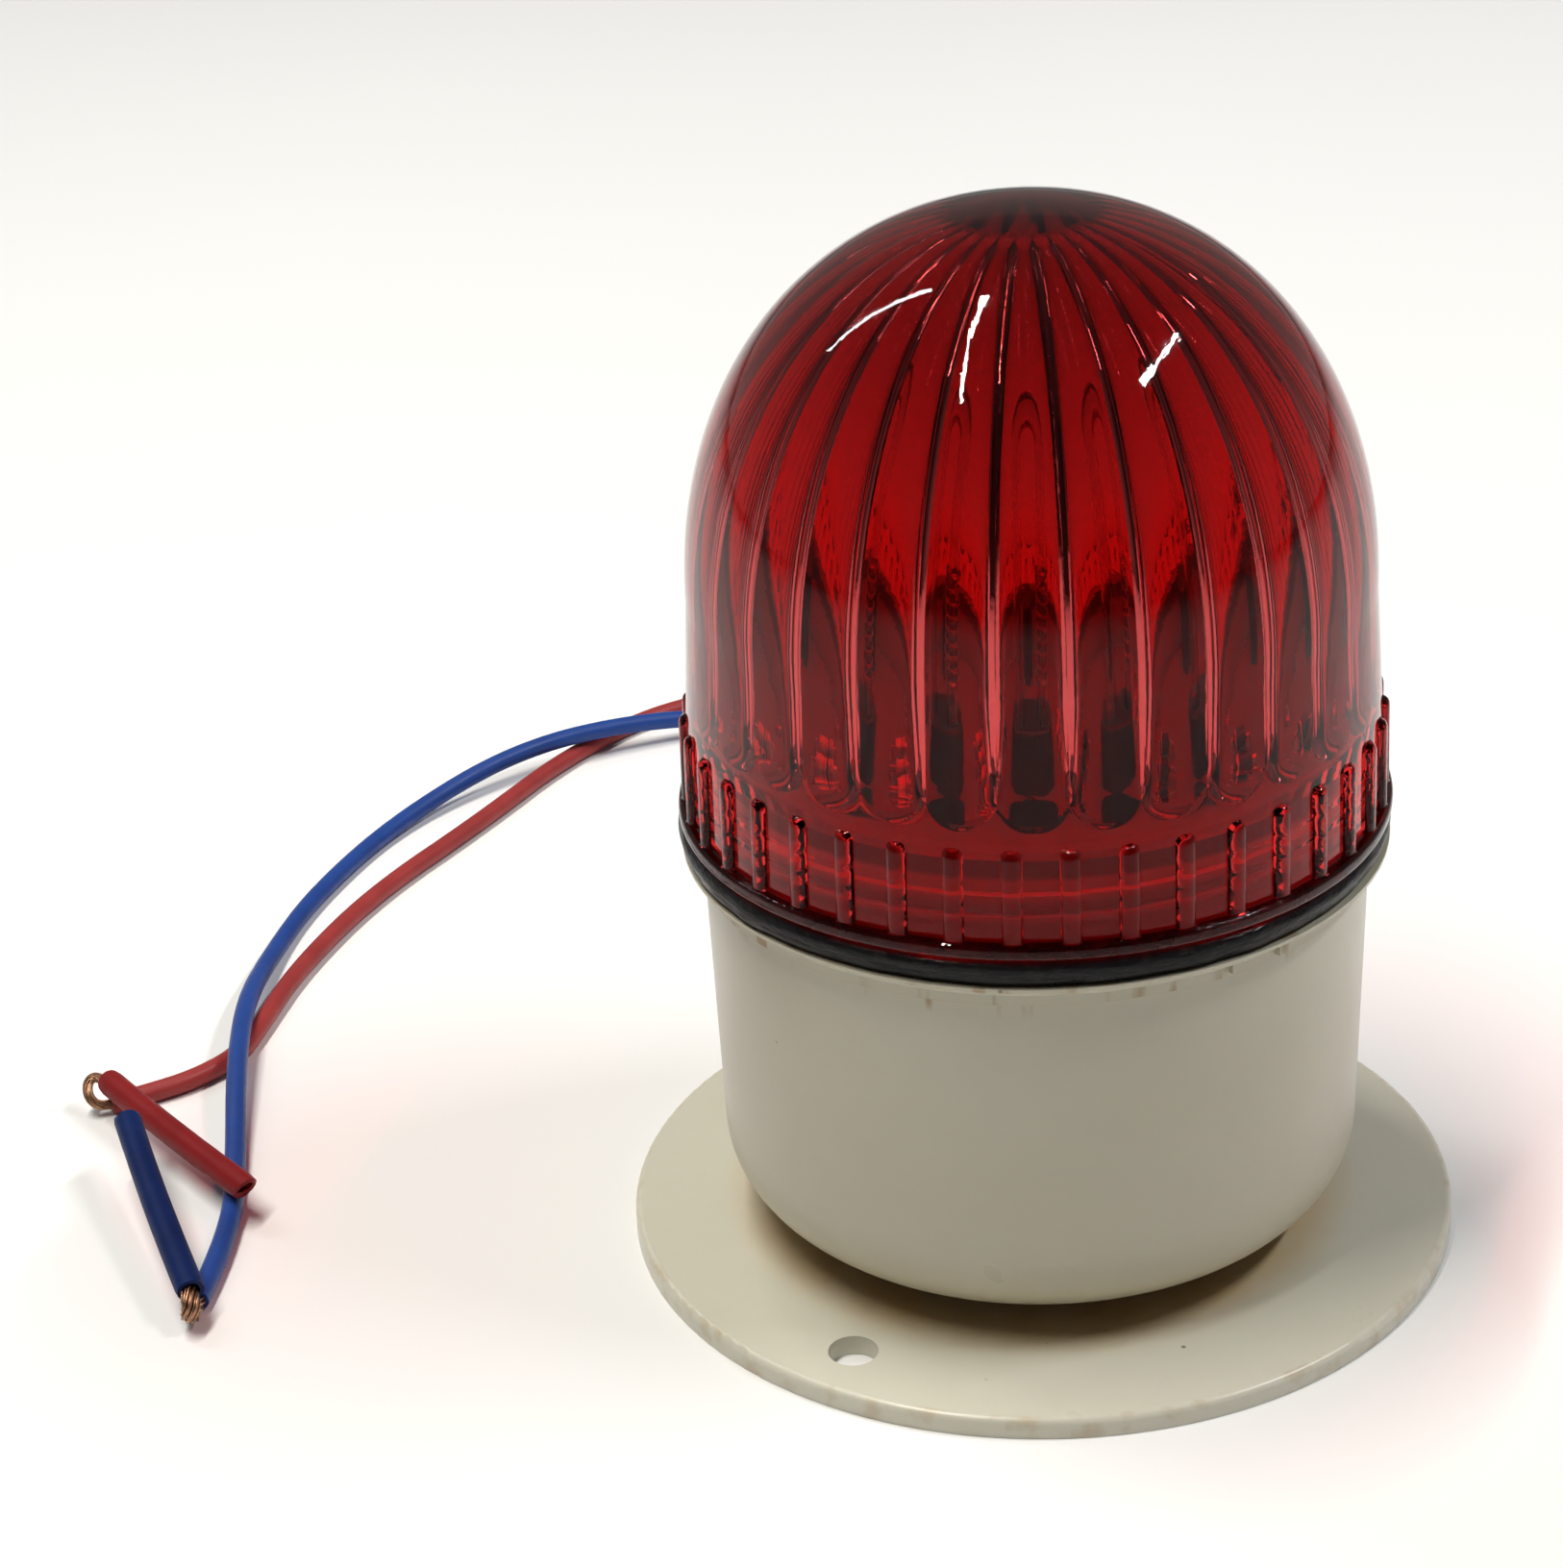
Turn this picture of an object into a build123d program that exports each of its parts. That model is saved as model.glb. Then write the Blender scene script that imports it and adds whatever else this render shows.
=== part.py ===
"""Alarm siren with a flashing lamp under a screw-on fluted lens.

Frame: millimetres, +Z up, origin at the centre of the mounting flange's underside.
The two supply leads leave the rear of the housing (+Y) and lie on the surface
that the flange stands on.
"""
import os
from math import pi, radians, sin, tan

from build123d import *

# Mounting flange
FLANGE_RADIUS = 50.0
FLANGE_THICKNESS = 2.5
FLANGE_EDGE_ROUND = 0.8
MOUNT_CIRCLE_RADIUS = 42.5
MOUNT_HOLE_RADIUS = 2.9
MOUNT_HOLE_ANGLE = 59.4
BOSS_OUTER_RADIUS = 25.5
BOSS_INNER_RADIUS = 18.5
BOSS_HEIGHT = 2.5
SOUND_SLOT_COUNT = 3
SOUND_SLOT_WIDTH = 14.0

# Housing: a cup with a rim band, a flared shoulder and a threaded neck
HOUSING_Z = FLANGE_THICKNESS + BOSS_HEIGHT
HOUSING_BOTTOM_RADIUS = 37.9
HOUSING_TOP_RADIUS = 38.9
HOUSING_CORNER = 10.0
FLOOR_THICKNESS = 2.5
WALL_THICKNESS = 2.6
WALL_TOP_THICKNESS = 3.0
BAND_Z = 49.2
BAND_RADIUS = 39.6
FLARE_Z = 50.4
SHOULDER_Z = 52.0
SHOULDER_RADIUS = 41.2
SHOULDER_EDGE = 0.4
NECK_RADIUS = 36.9
NECK_WALL = 2.0
NECK_TOP_Z = 66.0
CAVITY_RADIUS = HOUSING_BOTTOM_RADIUS - WALL_THICKNESS
CAVITY_TOP_RADIUS = HOUSING_TOP_RADIUS - WALL_TOP_THICKNESS
NECK_CHAMFER = 0.4
NECK_BORE_RADIUS = NECK_RADIUS - NECK_WALL
CAVITY_FLOOR_Z = HOUSING_Z + FLOOR_THICKNESS
BAND_NOTCH_ANGLES = (301.5, 311.2)
BAND_NOTCH_WIDTH = 1.4
BAND_NOTCH_HEIGHT = 1.2
PORT_CIRCLE_RADIUS = 6.0
PORT_COUNT = 6
PORT_RADIUS = 1.3
CENTRE_PORT_RADIUS = 1.6

# Posts and pillars inside the housing share three directions
POST_START_ANGLE = 30.0
POST_COUNT = 3
POST_CIRCLE_RADIUS = 30.6
POST_RADIUS = 3.2
POST_BOTTOM_Z = 16.0
WEB_THICKNESS = 2.0
WEB_EMBED = 0.3
PILOT_DEPTH = 10.0
PILLAR_CIRCLE_RADIUS = 22.0
PILLAR_RADIUS = 3.5
PILLAR_HEIGHT = 8.0
PILLAR_PILOT_DEPTH = 9.5

# Screw thread between the neck and the lens
THREAD_PITCH = 2.5
THREAD_TURNS = 2.6
THREAD_DEPTH = 0.8
THREAD_ROOT_WIDTH = 1.1
THREAD_CREST_WIDTH = 0.6
THREAD_EMBED = 0.3
THREAD_START_Z = 57.2

# Lens
LENS_BOTTOM_Z = 55.4
BEAD_RADIUS = 41.4
BEAD_TOP_Z = 57.2
BEAD_ROUND = 0.6
COLLAR_RADIUS = 40.1
COLLAR_BORE_RADIUS = 37.95
COLLAR_TOP_Z = 67.7
COLLAR_TOP_RADIUS = 39.9
SPRING_Z = 82.2
SPRING_RADIUS = 39.1
DOME_HEIGHT = 44.0
DOME_ROUNDNESS = 2.13
LENS_THIN_WALL = 2.1
LENS_THICK_WALL = 3.2
LENS_CROWN_WALL = 1.6
FLUTE_BOTTOM_Z = 69.5
FLUTE_COUNT = 32
FLUTE_GROOVE_DEPTH = 1.1
FLUTE_GROOVE_HALF_WIDTH = 1.7
FLUTE_END_RADIUS = 18.5
FLUTE_RUN_OUT = 0.5
FLUTE_OVERCUT = 0.4
THREAD_RELIEF = 0.6
GRIP_RIB_COUNT = 40
GRIP_RIB_START_ANGLE = 5.5
GRIP_RIB_WIDTH = 2.3
GRIP_RIB_RADIUS = 40.9
GRIP_RIB_TOP_Z = 68.0
GRIP_RIB_EMBED = 1.0
GRIP_RIB_FOOT = 0.5
GRIP_RIB_ROUND = 0.4

# Gasket under the lens rim
GASKET_BORE_RADIUS = 38.0
GASKET_RADIUS = 41.8
GASKET_BOTTOM_Z = 52.05
GASKET_TOP_Z = 55.3
GASKET_ROUND = 1.2

# Sounder on the housing floor
SOUNDER_RADIUS = 15.5
SOUNDER_WALL = 1.4
SOUNDER_HEIGHT = 7.5
SOUNDER_BASE = 1.2
SOUNDER_PORT_RADIUS = 4.0
SOUNDER_EAR_OFFSET = 19.0
SOUNDER_EAR_RADIUS = 3.4
SOUNDER_EAR_THICKNESS = 2.0
SOUNDER_EAR_REACH = 5.0
SOUNDER_PAD_HEIGHT = 3.0
SOUNDER_PILOT_DEPTH = 4.0
SOUNDER_ROUND = 0.5
SOUNDER_SCREW_LENGTH = 5.5
SOUNDER_WIRE_RADIUS = 0.45
DIAPHRAGM_SEAT = 1.2
DIAPHRAGM_RADIUS = 13.5
DIAPHRAGM_THICKNESS = 0.25
DIAPHRAGM_Z = 11.6
CERAMIC_RADIUS = 10.0
CERAMIC_THICKNESS = 0.2
CLAMP_RING_HEIGHT = 2.0
CLAMP_RING_GAP = 0.05
CLAMP_RING_LAP = 2.0
CLAMP_RING_CHAMFER = 0.3

# Circuit board and what stands on it
BOARD_RADIUS = 33.6
BOARD_THICKNESS = 1.6
BOARD_BOTTOM_Z = 56.4
BOARD_TOP_Z = BOARD_BOTTOM_Z + BOARD_THICKNESS
TUBE_RADIUS = 2.0
TUBE_BORE = 1.4
TUBE_GAP = 0.05
TUBE_LEG_OFFSET = 4.5
TUBE_BOTTOM_Z = 61.0
TUBE_BEND_Z = 97.5
ELECTRODE_LENGTH = 6.5
ELECTRODE_ROUND = 0.5
SOCKET_HEIGHT = 8.0
SOCKET_WIDTH = 8.0
SOCKET_ROUND = 0.8
TRIGGER_WIRE_RADIUS = 0.28
TRIGGER_WIRE_PITCH = 1.6
TRIGGER_WIRE_TURNS = 9
TRIGGER_WIRE_Z = 69.0
TRIGGER_COIL_PLACE = (2.0, 28.0)
TRIGGER_COIL_RADIUS = 3.6
TRIGGER_COIL_HEIGHT = 10.0
TRIGGER_COIL_ROUND = 0.7
RESISTOR_X = -19.0
RESISTOR_ROWS = (-10.0, -4.5, 1.0, 6.5)
DIODE_X = 19.0
DIODE_ROWS = (-8.0, -1.0, 6.0)

# What hangs under the board
CAPACITOR_PLACE = (-17.0, -8.0)
CAPACITOR_RADIUS = 6.3
CAPACITOR_LENGTH = 25.0
CAPACITOR_ROUND = 0.8
CAPACITOR_BEAD_DROP = 2.2
CAPACITOR_BEAD_WIDTH = 0.8
CAPACITOR_BEAD_DEPTH = 0.5
CORE_PLACE = (14.0, -6.0)
CORE_WIDTH = 19.0
CORE_DEPTH = 5.0
CORE_HEIGHT = 16.0
CORE_DROP = 3.0
CORE_LEG_WIDTH = 5.0
CORE_WINDOW_WIDTH = 3.8
CORE_YOKE = 3.0
WINDING_SIZE = 12.2
WINDING_CORNER = 2.5
WINDING_GAP = 0.1
TRANSISTOR_Y = -21.5
TRANSISTOR_WIDTH = 10.0
TRANSISTOR_THICKNESS = 4.4
TRANSISTOR_BODY_HEIGHT = 9.0
TRANSISTOR_TAB_HEIGHT = 15.0
TRANSISTOR_TAB_THICKNESS = 1.2
TRANSISTOR_TAB_HOLE = 1.8
TRANSISTOR_LEG_LENGTH = 4.0
TRANSISTOR_LEG_WIDTH = 0.8
TRANSISTOR_LEG_THICKNESS = 0.6
TRANSISTOR_LEG_PITCH = 2.54
TERMINAL_Y = 24.0
TERMINAL_OFFSET = 3.0
TERMINAL_LENGTH = 13.0
TERMINAL_HALF_DEPTH = 4.25
TERMINAL_HEIGHT = 10.0
TERMINAL_CHAMFER = 0.5
TERMINAL_MOUTH_DEPTH = 7.0
TERMINAL_MOUTH_GAP = 0.1
TERMINAL_SCREW_DROP = 4.6
TERMINAL_SCREW_RADIUS = 1.8
TERMINAL_SCREW_GAP = 0.1
TERMINAL_SCREW_LENGTH = 1.7
TERMINAL_WELL_DEPTH = 2.4
TERMINAL_SCREW_SINK = 0.5
TERMINAL_SLOT_WIDTH = 0.6
TERMINAL_SLOT_DEPTH = 0.7

# Small screws
SELF_TAP_RADIUS = 1.0
SELF_TAP_PILOT = 1.05
FLANGE_SCREW_RADIUS = 1.25
FLANGE_SCREW_PILOT = 1.3
FLANGE_SCREW_LENGTH = 14.0
FLANGE_SCREW_INSET = 0.15
FLANGE_SCREW_HEAD = 1.75
FLANGE_SCREW_RECESS_DEPTH = 1.1
FLANGE_SCREW_RECESS_WIDTH = 0.6
FLANGE_SCREW_RECESS_LENGTH = 3.2
COUNTERSINK_RADIUS = 3.3
COUNTERSINK_DEPTH = 1.7
SCREW_CLEARANCE = 0.35
BOARD_SCREW_LENGTH = 8.0
PAN_HEAD_RADIUS = 2.1
PAN_HEAD_HEIGHT = 1.4

# Supply leads
LEAD_RADIUS = 1.35
LEAD_SPACING = 1.75
LEAD_EXIT_Z = 18.0
LEAD_FLOOR_Z = 1.4
LEAD_OVER_Z = 4.35
GROMMET_SEAT_Y = 38.45
GROMMET_FACE_Y = 40.2
GROMMET_INNER_Y = 33.0
GROMMET_LIP = 1.6
GROMMET_RADIUS = 5.6
GROMMET_WAIST_RADIUS = 3.5
GROMMET_LIP_STEP = 0.8
GROMMET_ROUND = 0.7
GROMMET_BORE_GAP = 0.03
GROMMET_HOLE_GAP = 0.1
TIE_WIDTH = 2.2
TIE_THICKNESS = 1.2
TIE_GAP = 0.05
TIE_SETBACK = 0.3
TIE_HEAD_WIDTH = 4.4
TIE_HEAD_HEIGHT = 3.4
TIE_HEAD_DROP = 3.5
INNER_BEND_Z = 32.0
INNER_LEAD_LEAN = 0.3
BEND_SHARE = 0.45
CONDUCTOR_RADIUS = 0.7
SLEEVE_RADIUS = 1.75
SLEEVE_BORE = 0.95
SLEEVE_LENGTH = 35.0
BLUE_SLEEVE_LENGTH = 36.5
SLEEVE_SETBACK = 2.2

BLUE_ROUTE = (
    (-LEAD_SPACING, GROMMET_FACE_Y, LEAD_EXIT_Z),
    (-LEAD_SPACING, 52.0, LEAD_EXIT_Z),
    (-1.0, 65.0, 8.0),
    (1.0, 81.0, LEAD_FLOOR_Z),
    (3.0, 102.0, LEAD_FLOOR_Z),
    (-6.0, 123.0, LEAD_FLOOR_Z),
    (-23.0, 136.0, LEAD_FLOOR_Z),
    (-43.0, 139.5, LEAD_FLOOR_Z),
    (-62.0, 132.5, LEAD_OVER_Z),
    (-80.5, 122.5, LEAD_OVER_Z),
    (-96.5, 104.5, LEAD_FLOOR_Z),
    (-105.3, 80.0, LEAD_FLOOR_Z),
    (-108.3, 61.0, LEAD_FLOOR_Z),
    (-108.0, 43.0, LEAD_OVER_Z),
    (-105.5, 24.5, LEAD_OVER_Z),
    (-102.5, 8.0, LEAD_FLOOR_Z),
    (-99.5, -9.0, LEAD_FLOOR_Z),
    (-100.6, -24.0, LEAD_FLOOR_Z),
)

RED_ROUTE = (
    (LEAD_SPACING, GROMMET_FACE_Y, LEAD_EXIT_Z),
    (LEAD_SPACING, 51.5, LEAD_EXIT_Z),
    (4.5, 64.0, 8.0),
    (10.0, 79.0, LEAD_FLOOR_Z),
    (14.5, 101.0, LEAD_FLOOR_Z),
    (9.0, 125.0, LEAD_FLOOR_Z),
    (-10.0, 144.0, LEAD_FLOOR_Z),
    (-35.0, 150.5, LEAD_FLOOR_Z),
    (-57.5, 145.0, LEAD_FLOOR_Z),
    (-73.0, 126.5, LEAD_FLOOR_Z),
    (-84.0, 103.0, LEAD_FLOOR_Z),
    (-96.5, 80.0, LEAD_FLOOR_Z),
    (-103.5, 58.0, LEAD_FLOOR_Z),
    (-105.8, 42.5, LEAD_FLOOR_Z),
    (-107.2, 33.8, LEAD_FLOOR_Z),
    (-112.0, 27.7, LEAD_FLOOR_Z),
    (-117.0, 24.3, LEAD_FLOOR_Z),
    (-121.8, 21.5, LEAD_FLOOR_Z),
)

BLUE_STRANDS_ROUTE = (
    (-100.6, -24.0, LEAD_FLOOR_Z),
    (-100.86, -27.6, LEAD_FLOOR_Z),
    (-100.3, -29.2, 3.1),
    (-99.9, -28.1, 4.7),
    (-104.8, -17.2, 6.0),
)

RED_STRANDS_ROUTE = (
    (-121.8, 21.5, LEAD_FLOOR_Z),
    (-123.3, 20.7, LEAD_FLOOR_Z),
    (-124.8, 21.2, 2.8),
    (-125.0, 23.1, 4.2),
    (-123.2, 23.3, 4.7),
    (-116.4, 15.7, 4.7),
)


def export(part, label):
    """Label one finished piece and write its STEP file."""
    part.label = label
    export_step(part, f"parts/{label}.step")


def bend_radii(route):
    """One radius for each corner: as large as the two runs beside it allow."""
    radii = []
    for before, corner, after in zip(route, route[1:], route[2:]):
        incoming = Vector(*corner) - Vector(*before)
        outgoing = Vector(*after) - Vector(*corner)
        turn = incoming.get_angle(outgoing)
        shorter = min(incoming.length, outgoing.length)
        radii.append(BEND_SHARE * shorter / tan(radians(turn) / 2))
    return radii


def round_tube(route, radius, name):
    """A round tube along straight runs joined by tangent arcs."""
    radii = bend_radii(route)
    with BuildPart() as tube:
        with BuildLine() as path:
            FilletPolyline(*route, radius=radii)
        with BuildSketch(Plane(origin=path.line @ 0, z_dir=path.line % 0)):
            Circle(radius)
        sweep()
    length = path.wire().length
    ratio = tube.part.volume / (pi * radius**2 * length)
    smallest = min(radii)
    print(f"{name}: length {length:.1f}, smallest radius {smallest:.2f}, volume ratio {ratio:.4f}")
    return tube.part


def straight_sleeve(start, toward, length):
    """A cut length of insulating tube, open at both ends."""
    direction = Vector(*toward) - Vector(*start)
    with BuildPart() as sleeve:
        with BuildSketch(Plane(origin=start, z_dir=direction)):
            Circle(SLEEVE_RADIUS)
            Circle(SLEEVE_BORE, mode=Mode.SUBTRACT)
        extrude(amount=length)
    return sleeve.part


def thread_ridge(radius, root, crest, start_z):
    """A helical ridge of trapezoid section, from root to crest measured from radius."""
    with BuildPart() as ridge:
        with BuildLine() as path:
            Helix(THREAD_PITCH, THREAD_TURNS * THREAD_PITCH, radius, center=(0, 0, start_z))
        with BuildSketch(Plane(origin=path.line @ 0, x_dir=(1, 0, 0), z_dir=path.line % 0)):
            with BuildLine():
                Polyline(
                    (root, -THREAD_ROOT_WIDTH / 2),
                    (crest, -THREAD_CREST_WIDTH / 2),
                    (crest, THREAD_CREST_WIDTH / 2),
                    (root, THREAD_ROOT_WIDTH / 2),
                    close=True,
                )
            make_face()
        sweep(is_frenet=True)
    return ridge.part


def pan_screw(head_radius, head_height, shank_radius, shank_length):
    """A pan head screw with a cross recess, its head resting on z = 0."""
    recess_length = head_radius * 1.1
    with BuildPart() as screw:
        Cylinder(head_radius, head_height, align=(Align.CENTER, Align.CENTER, Align.MIN))
        fillet(screw.edges().group_by(Axis.Z)[-1], head_height * 0.45)
        Cylinder(shank_radius, shank_length, align=(Align.CENTER, Align.CENTER, Align.MAX))
        chamfer(screw.edges().group_by(Axis.Z)[0], shank_radius * 0.5)
        with BuildSketch(Plane.XY.offset(head_height)):
            Rectangle(recess_length, head_radius * 0.28)
            Rectangle(head_radius * 0.28, recess_length)
        extrude(amount=-head_height * 0.5, mode=Mode.SUBTRACT)
    return screw.part


def axial_component(body_radius, body_length, lead_span, height):
    """A two-lead component lying along X, its bent leads standing on z = 0."""
    lead_radius = 0.3
    lead_route = (
        (-lead_span / 2, 0, 0),
        (-lead_span / 2, 0, height),
        (lead_span / 2, 0, height),
        (lead_span / 2, 0, 0),
    )
    with BuildPart() as component:
        with BuildLine() as path:
            FilletPolyline(*lead_route, radius=height * 0.4)
        with BuildSketch(Plane(origin=path.line @ 0, z_dir=path.line % 0)):
            Circle(lead_radius)
        sweep()
        with BuildSketch(Plane(origin=(-body_length / 2, 0, height), z_dir=(1, 0, 0))):
            Circle(body_radius)
        extrude(amount=body_length)
        ends = component.edges().filter_by(GeomType.CIRCLE)
        rims = ends.filter_by(lambda edge: abs(edge.radius - body_radius) < 0.01)
        fillet(rims, body_radius * 0.35)
    return component.part


def superellipse_points(radius, height, base_z, count, last_radius=0.0):
    """Points up the dome, evenly spaced in the parameter of its superellipse."""
    last_sine = (1 - (last_radius / radius) ** DOME_ROUNDNESS) ** 0.5
    points = []
    for step in range(count + 1):
        share = last_sine * sin(pi / 2 * step / count)
        r = radius * (1 - share**2) ** (1 / DOME_ROUNDNESS)
        z = base_z + height * share ** (2 / DOME_ROUNDNESS)
        points.append((r, z))
    return points


def build_flange():
    """Round mounting flange with two screw holes and a slotted boss under the housing."""
    boss_middle = (BOSS_OUTER_RADIUS + BOSS_INNER_RADIUS) / 2
    with BuildPart() as flange:
        with BuildSketch():
            Circle(FLANGE_RADIUS)
        extrude(amount=FLANGE_THICKNESS)
        fillet(flange.edges().group_by(Axis.Z)[-1], FLANGE_EDGE_ROUND)
        with BuildSketch(Plane.XY.offset(FLANGE_THICKNESS)):
            Circle(BOSS_OUTER_RADIUS)
            Circle(BOSS_INNER_RADIUS, mode=Mode.SUBTRACT)
            with PolarLocations(boss_middle, SOUND_SLOT_COUNT, start_angle=POST_START_ANGLE + 60):
                Rectangle(BOSS_OUTER_RADIUS, SOUND_SLOT_WIDTH, mode=Mode.SUBTRACT)
        extrude(amount=BOSS_HEIGHT)
        with BuildSketch():
            with PolarLocations(MOUNT_CIRCLE_RADIUS, 2, start_angle=MOUNT_HOLE_ANGLE):
                Circle(MOUNT_HOLE_RADIUS)
        extrude(amount=FLANGE_THICKNESS, mode=Mode.SUBTRACT)
        with BuildSketch():
            with PolarLocations(PILLAR_CIRCLE_RADIUS, POST_COUNT, start_angle=POST_START_ANGLE):
                Circle(FLANGE_SCREW_RADIUS + SCREW_CLEARANCE)
        extrude(amount=HOUSING_Z, mode=Mode.SUBTRACT)
        with BuildSketch():
            with PolarLocations(PILLAR_CIRCLE_RADIUS, POST_COUNT, start_angle=POST_START_ANGLE):
                Circle(COUNTERSINK_RADIUS)
        extrude(amount=COUNTERSINK_DEPTH, taper=45, mode=Mode.SUBTRACT)
    export(flange.part, "mounting_flange")


def build_flange_screws():
    """Three countersunk screws that hold the flange to the housing from below."""
    head_plane = Plane.XY.offset(FLANGE_SCREW_INSET)
    with BuildPart() as screw:
        with BuildSketch(head_plane):
            Circle(FLANGE_SCREW_RADIUS + FLANGE_SCREW_HEAD)
        extrude(amount=FLANGE_SCREW_HEAD, taper=45)
        with BuildSketch(head_plane):
            Circle(FLANGE_SCREW_RADIUS)
        extrude(amount=FLANGE_SCREW_LENGTH)
        chamfer(screw.edges().group_by(Axis.Z)[-1], FLANGE_SCREW_RADIUS * 0.5)
        with BuildSketch(head_plane):
            Rectangle(FLANGE_SCREW_RECESS_LENGTH, FLANGE_SCREW_RECESS_WIDTH)
            Rectangle(FLANGE_SCREW_RECESS_WIDTH, FLANGE_SCREW_RECESS_LENGTH)
        extrude(amount=FLANGE_SCREW_RECESS_DEPTH, mode=Mode.SUBTRACT)
    with BuildPart() as screws:
        with PolarLocations(PILLAR_CIRCLE_RADIUS, POST_COUNT, start_angle=POST_START_ANGLE):
            add(screw.part)
    export(screws.part, "flange_screws")


def build_housing():
    """Cup-shaped housing with a flared rim, posts, pillars, sound ports, lead hole and threaded neck."""
    with BuildPart() as housing:
        with BuildSketch(Plane.XZ) as outline:
            with BuildLine():
                Polyline(
                    (0, HOUSING_Z),
                    (HOUSING_BOTTOM_RADIUS, HOUSING_Z),
                    (HOUSING_TOP_RADIUS, BAND_Z),
                    (BAND_RADIUS, BAND_Z),
                    (BAND_RADIUS, FLARE_Z),
                    (SHOULDER_RADIUS, SHOULDER_Z - SHOULDER_EDGE),
                    (SHOULDER_RADIUS, SHOULDER_Z),
                    (NECK_RADIUS, SHOULDER_Z),
                    (NECK_RADIUS, NECK_TOP_Z),
                    (0, NECK_TOP_Z),
                    close=True,
                )
            make_face()
            bottom_corner = (HOUSING_BOTTOM_RADIUS, HOUSING_Z, 0)
            fillet(outline.vertices().sort_by_distance(bottom_corner)[0], HOUSING_CORNER)
        revolve(axis=Axis.Z)
        with BuildSketch(Plane.XZ) as cavity:
            with BuildLine():
                Polyline(
                    (0, CAVITY_FLOOR_Z),
                    (CAVITY_RADIUS, CAVITY_FLOOR_Z),
                    (CAVITY_TOP_RADIUS, BAND_Z - WALL_THICKNESS),
                    (NECK_BORE_RADIUS, SHOULDER_Z - WALL_THICKNESS),
                    (NECK_BORE_RADIUS, NECK_TOP_Z),
                    (0, NECK_TOP_Z),
                    close=True,
                )
            make_face()
            floor_corner = (CAVITY_RADIUS, CAVITY_FLOOR_Z, 0)
            fillet(cavity.vertices().sort_by_distance(floor_corner)[0], HOUSING_CORNER - FLOOR_THICKNESS)
        revolve(axis=Axis.Z, mode=Mode.SUBTRACT)
        neck_rims = housing.edges().group_by(Axis.Z)[-1]
        chamfer(neck_rims, NECK_CHAMFER)

        with BuildSketch(Plane.XY.offset(POST_BOTTOM_Z)):
            with PolarLocations(POST_CIRCLE_RADIUS, POST_COUNT, start_angle=POST_START_ANGLE):
                Circle(POST_RADIUS)
            web_length = CAVITY_TOP_RADIUS + WEB_EMBED - POST_CIRCLE_RADIUS
            web_middle = POST_CIRCLE_RADIUS + web_length / 2
            with PolarLocations(web_middle, POST_COUNT, start_angle=POST_START_ANGLE):
                Rectangle(web_length, WEB_THICKNESS)
        extrude(amount=BOARD_BOTTOM_Z - POST_BOTTOM_Z)
        with BuildSketch(Plane.XY.offset(BOARD_BOTTOM_Z)):
            with PolarLocations(POST_CIRCLE_RADIUS, POST_COUNT, start_angle=POST_START_ANGLE):
                Circle(SELF_TAP_PILOT)
        extrude(amount=-PILOT_DEPTH, mode=Mode.SUBTRACT)

        with BuildSketch(Plane.XY.offset(CAVITY_FLOOR_Z)):
            with PolarLocations(PILLAR_CIRCLE_RADIUS, POST_COUNT, start_angle=POST_START_ANGLE):
                Circle(PILLAR_RADIUS)
        extrude(amount=PILLAR_HEIGHT)
        with BuildSketch(Plane.XY.offset(HOUSING_Z)):
            with PolarLocations(PILLAR_CIRCLE_RADIUS, POST_COUNT, start_angle=POST_START_ANGLE):
                Circle(FLANGE_SCREW_PILOT)
        extrude(amount=PILLAR_PILOT_DEPTH, mode=Mode.SUBTRACT)

        with BuildSketch(Plane.XY.offset(CAVITY_FLOOR_Z)):
            with Locations((SOUNDER_EAR_OFFSET, 0), (-SOUNDER_EAR_OFFSET, 0)):
                Circle(SOUNDER_EAR_RADIUS)
        extrude(amount=SOUNDER_PAD_HEIGHT)
        with BuildSketch(Plane.XY.offset(CAVITY_FLOOR_Z + SOUNDER_PAD_HEIGHT)):
            with Locations((SOUNDER_EAR_OFFSET, 0), (-SOUNDER_EAR_OFFSET, 0)):
                Circle(SELF_TAP_PILOT)
        extrude(amount=-SOUNDER_PILOT_DEPTH, mode=Mode.SUBTRACT)

        with BuildSketch(Plane.XY.offset(HOUSING_Z)):
            Circle(CENTRE_PORT_RADIUS)
            with PolarLocations(PORT_CIRCLE_RADIUS, PORT_COUNT):
                Circle(PORT_RADIUS)
        extrude(amount=FLOOR_THICKNESS, mode=Mode.SUBTRACT)

        with BuildSketch(exit_plane(GROMMET_FACE_Y)):
            Circle(GROMMET_WAIST_RADIUS + GROMMET_HOLE_GAP)
        extrude(amount=GROMMET_FACE_Y - GROMMET_INNER_Y, mode=Mode.SUBTRACT)

        with BuildSketch(Plane.XY.offset(BAND_Z)):
            for angle in BAND_NOTCH_ANGLES:
                with PolarLocations(BAND_RADIUS, 1, start_angle=angle):
                    Rectangle(2 * (BAND_RADIUS - HOUSING_TOP_RADIUS), BAND_NOTCH_WIDTH)
        extrude(amount=BAND_NOTCH_HEIGHT, mode=Mode.SUBTRACT)
        add(thread_ridge(NECK_RADIUS, -THREAD_EMBED, THREAD_DEPTH, THREAD_START_Z))
    export(housing.part, "base_housing")


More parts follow.
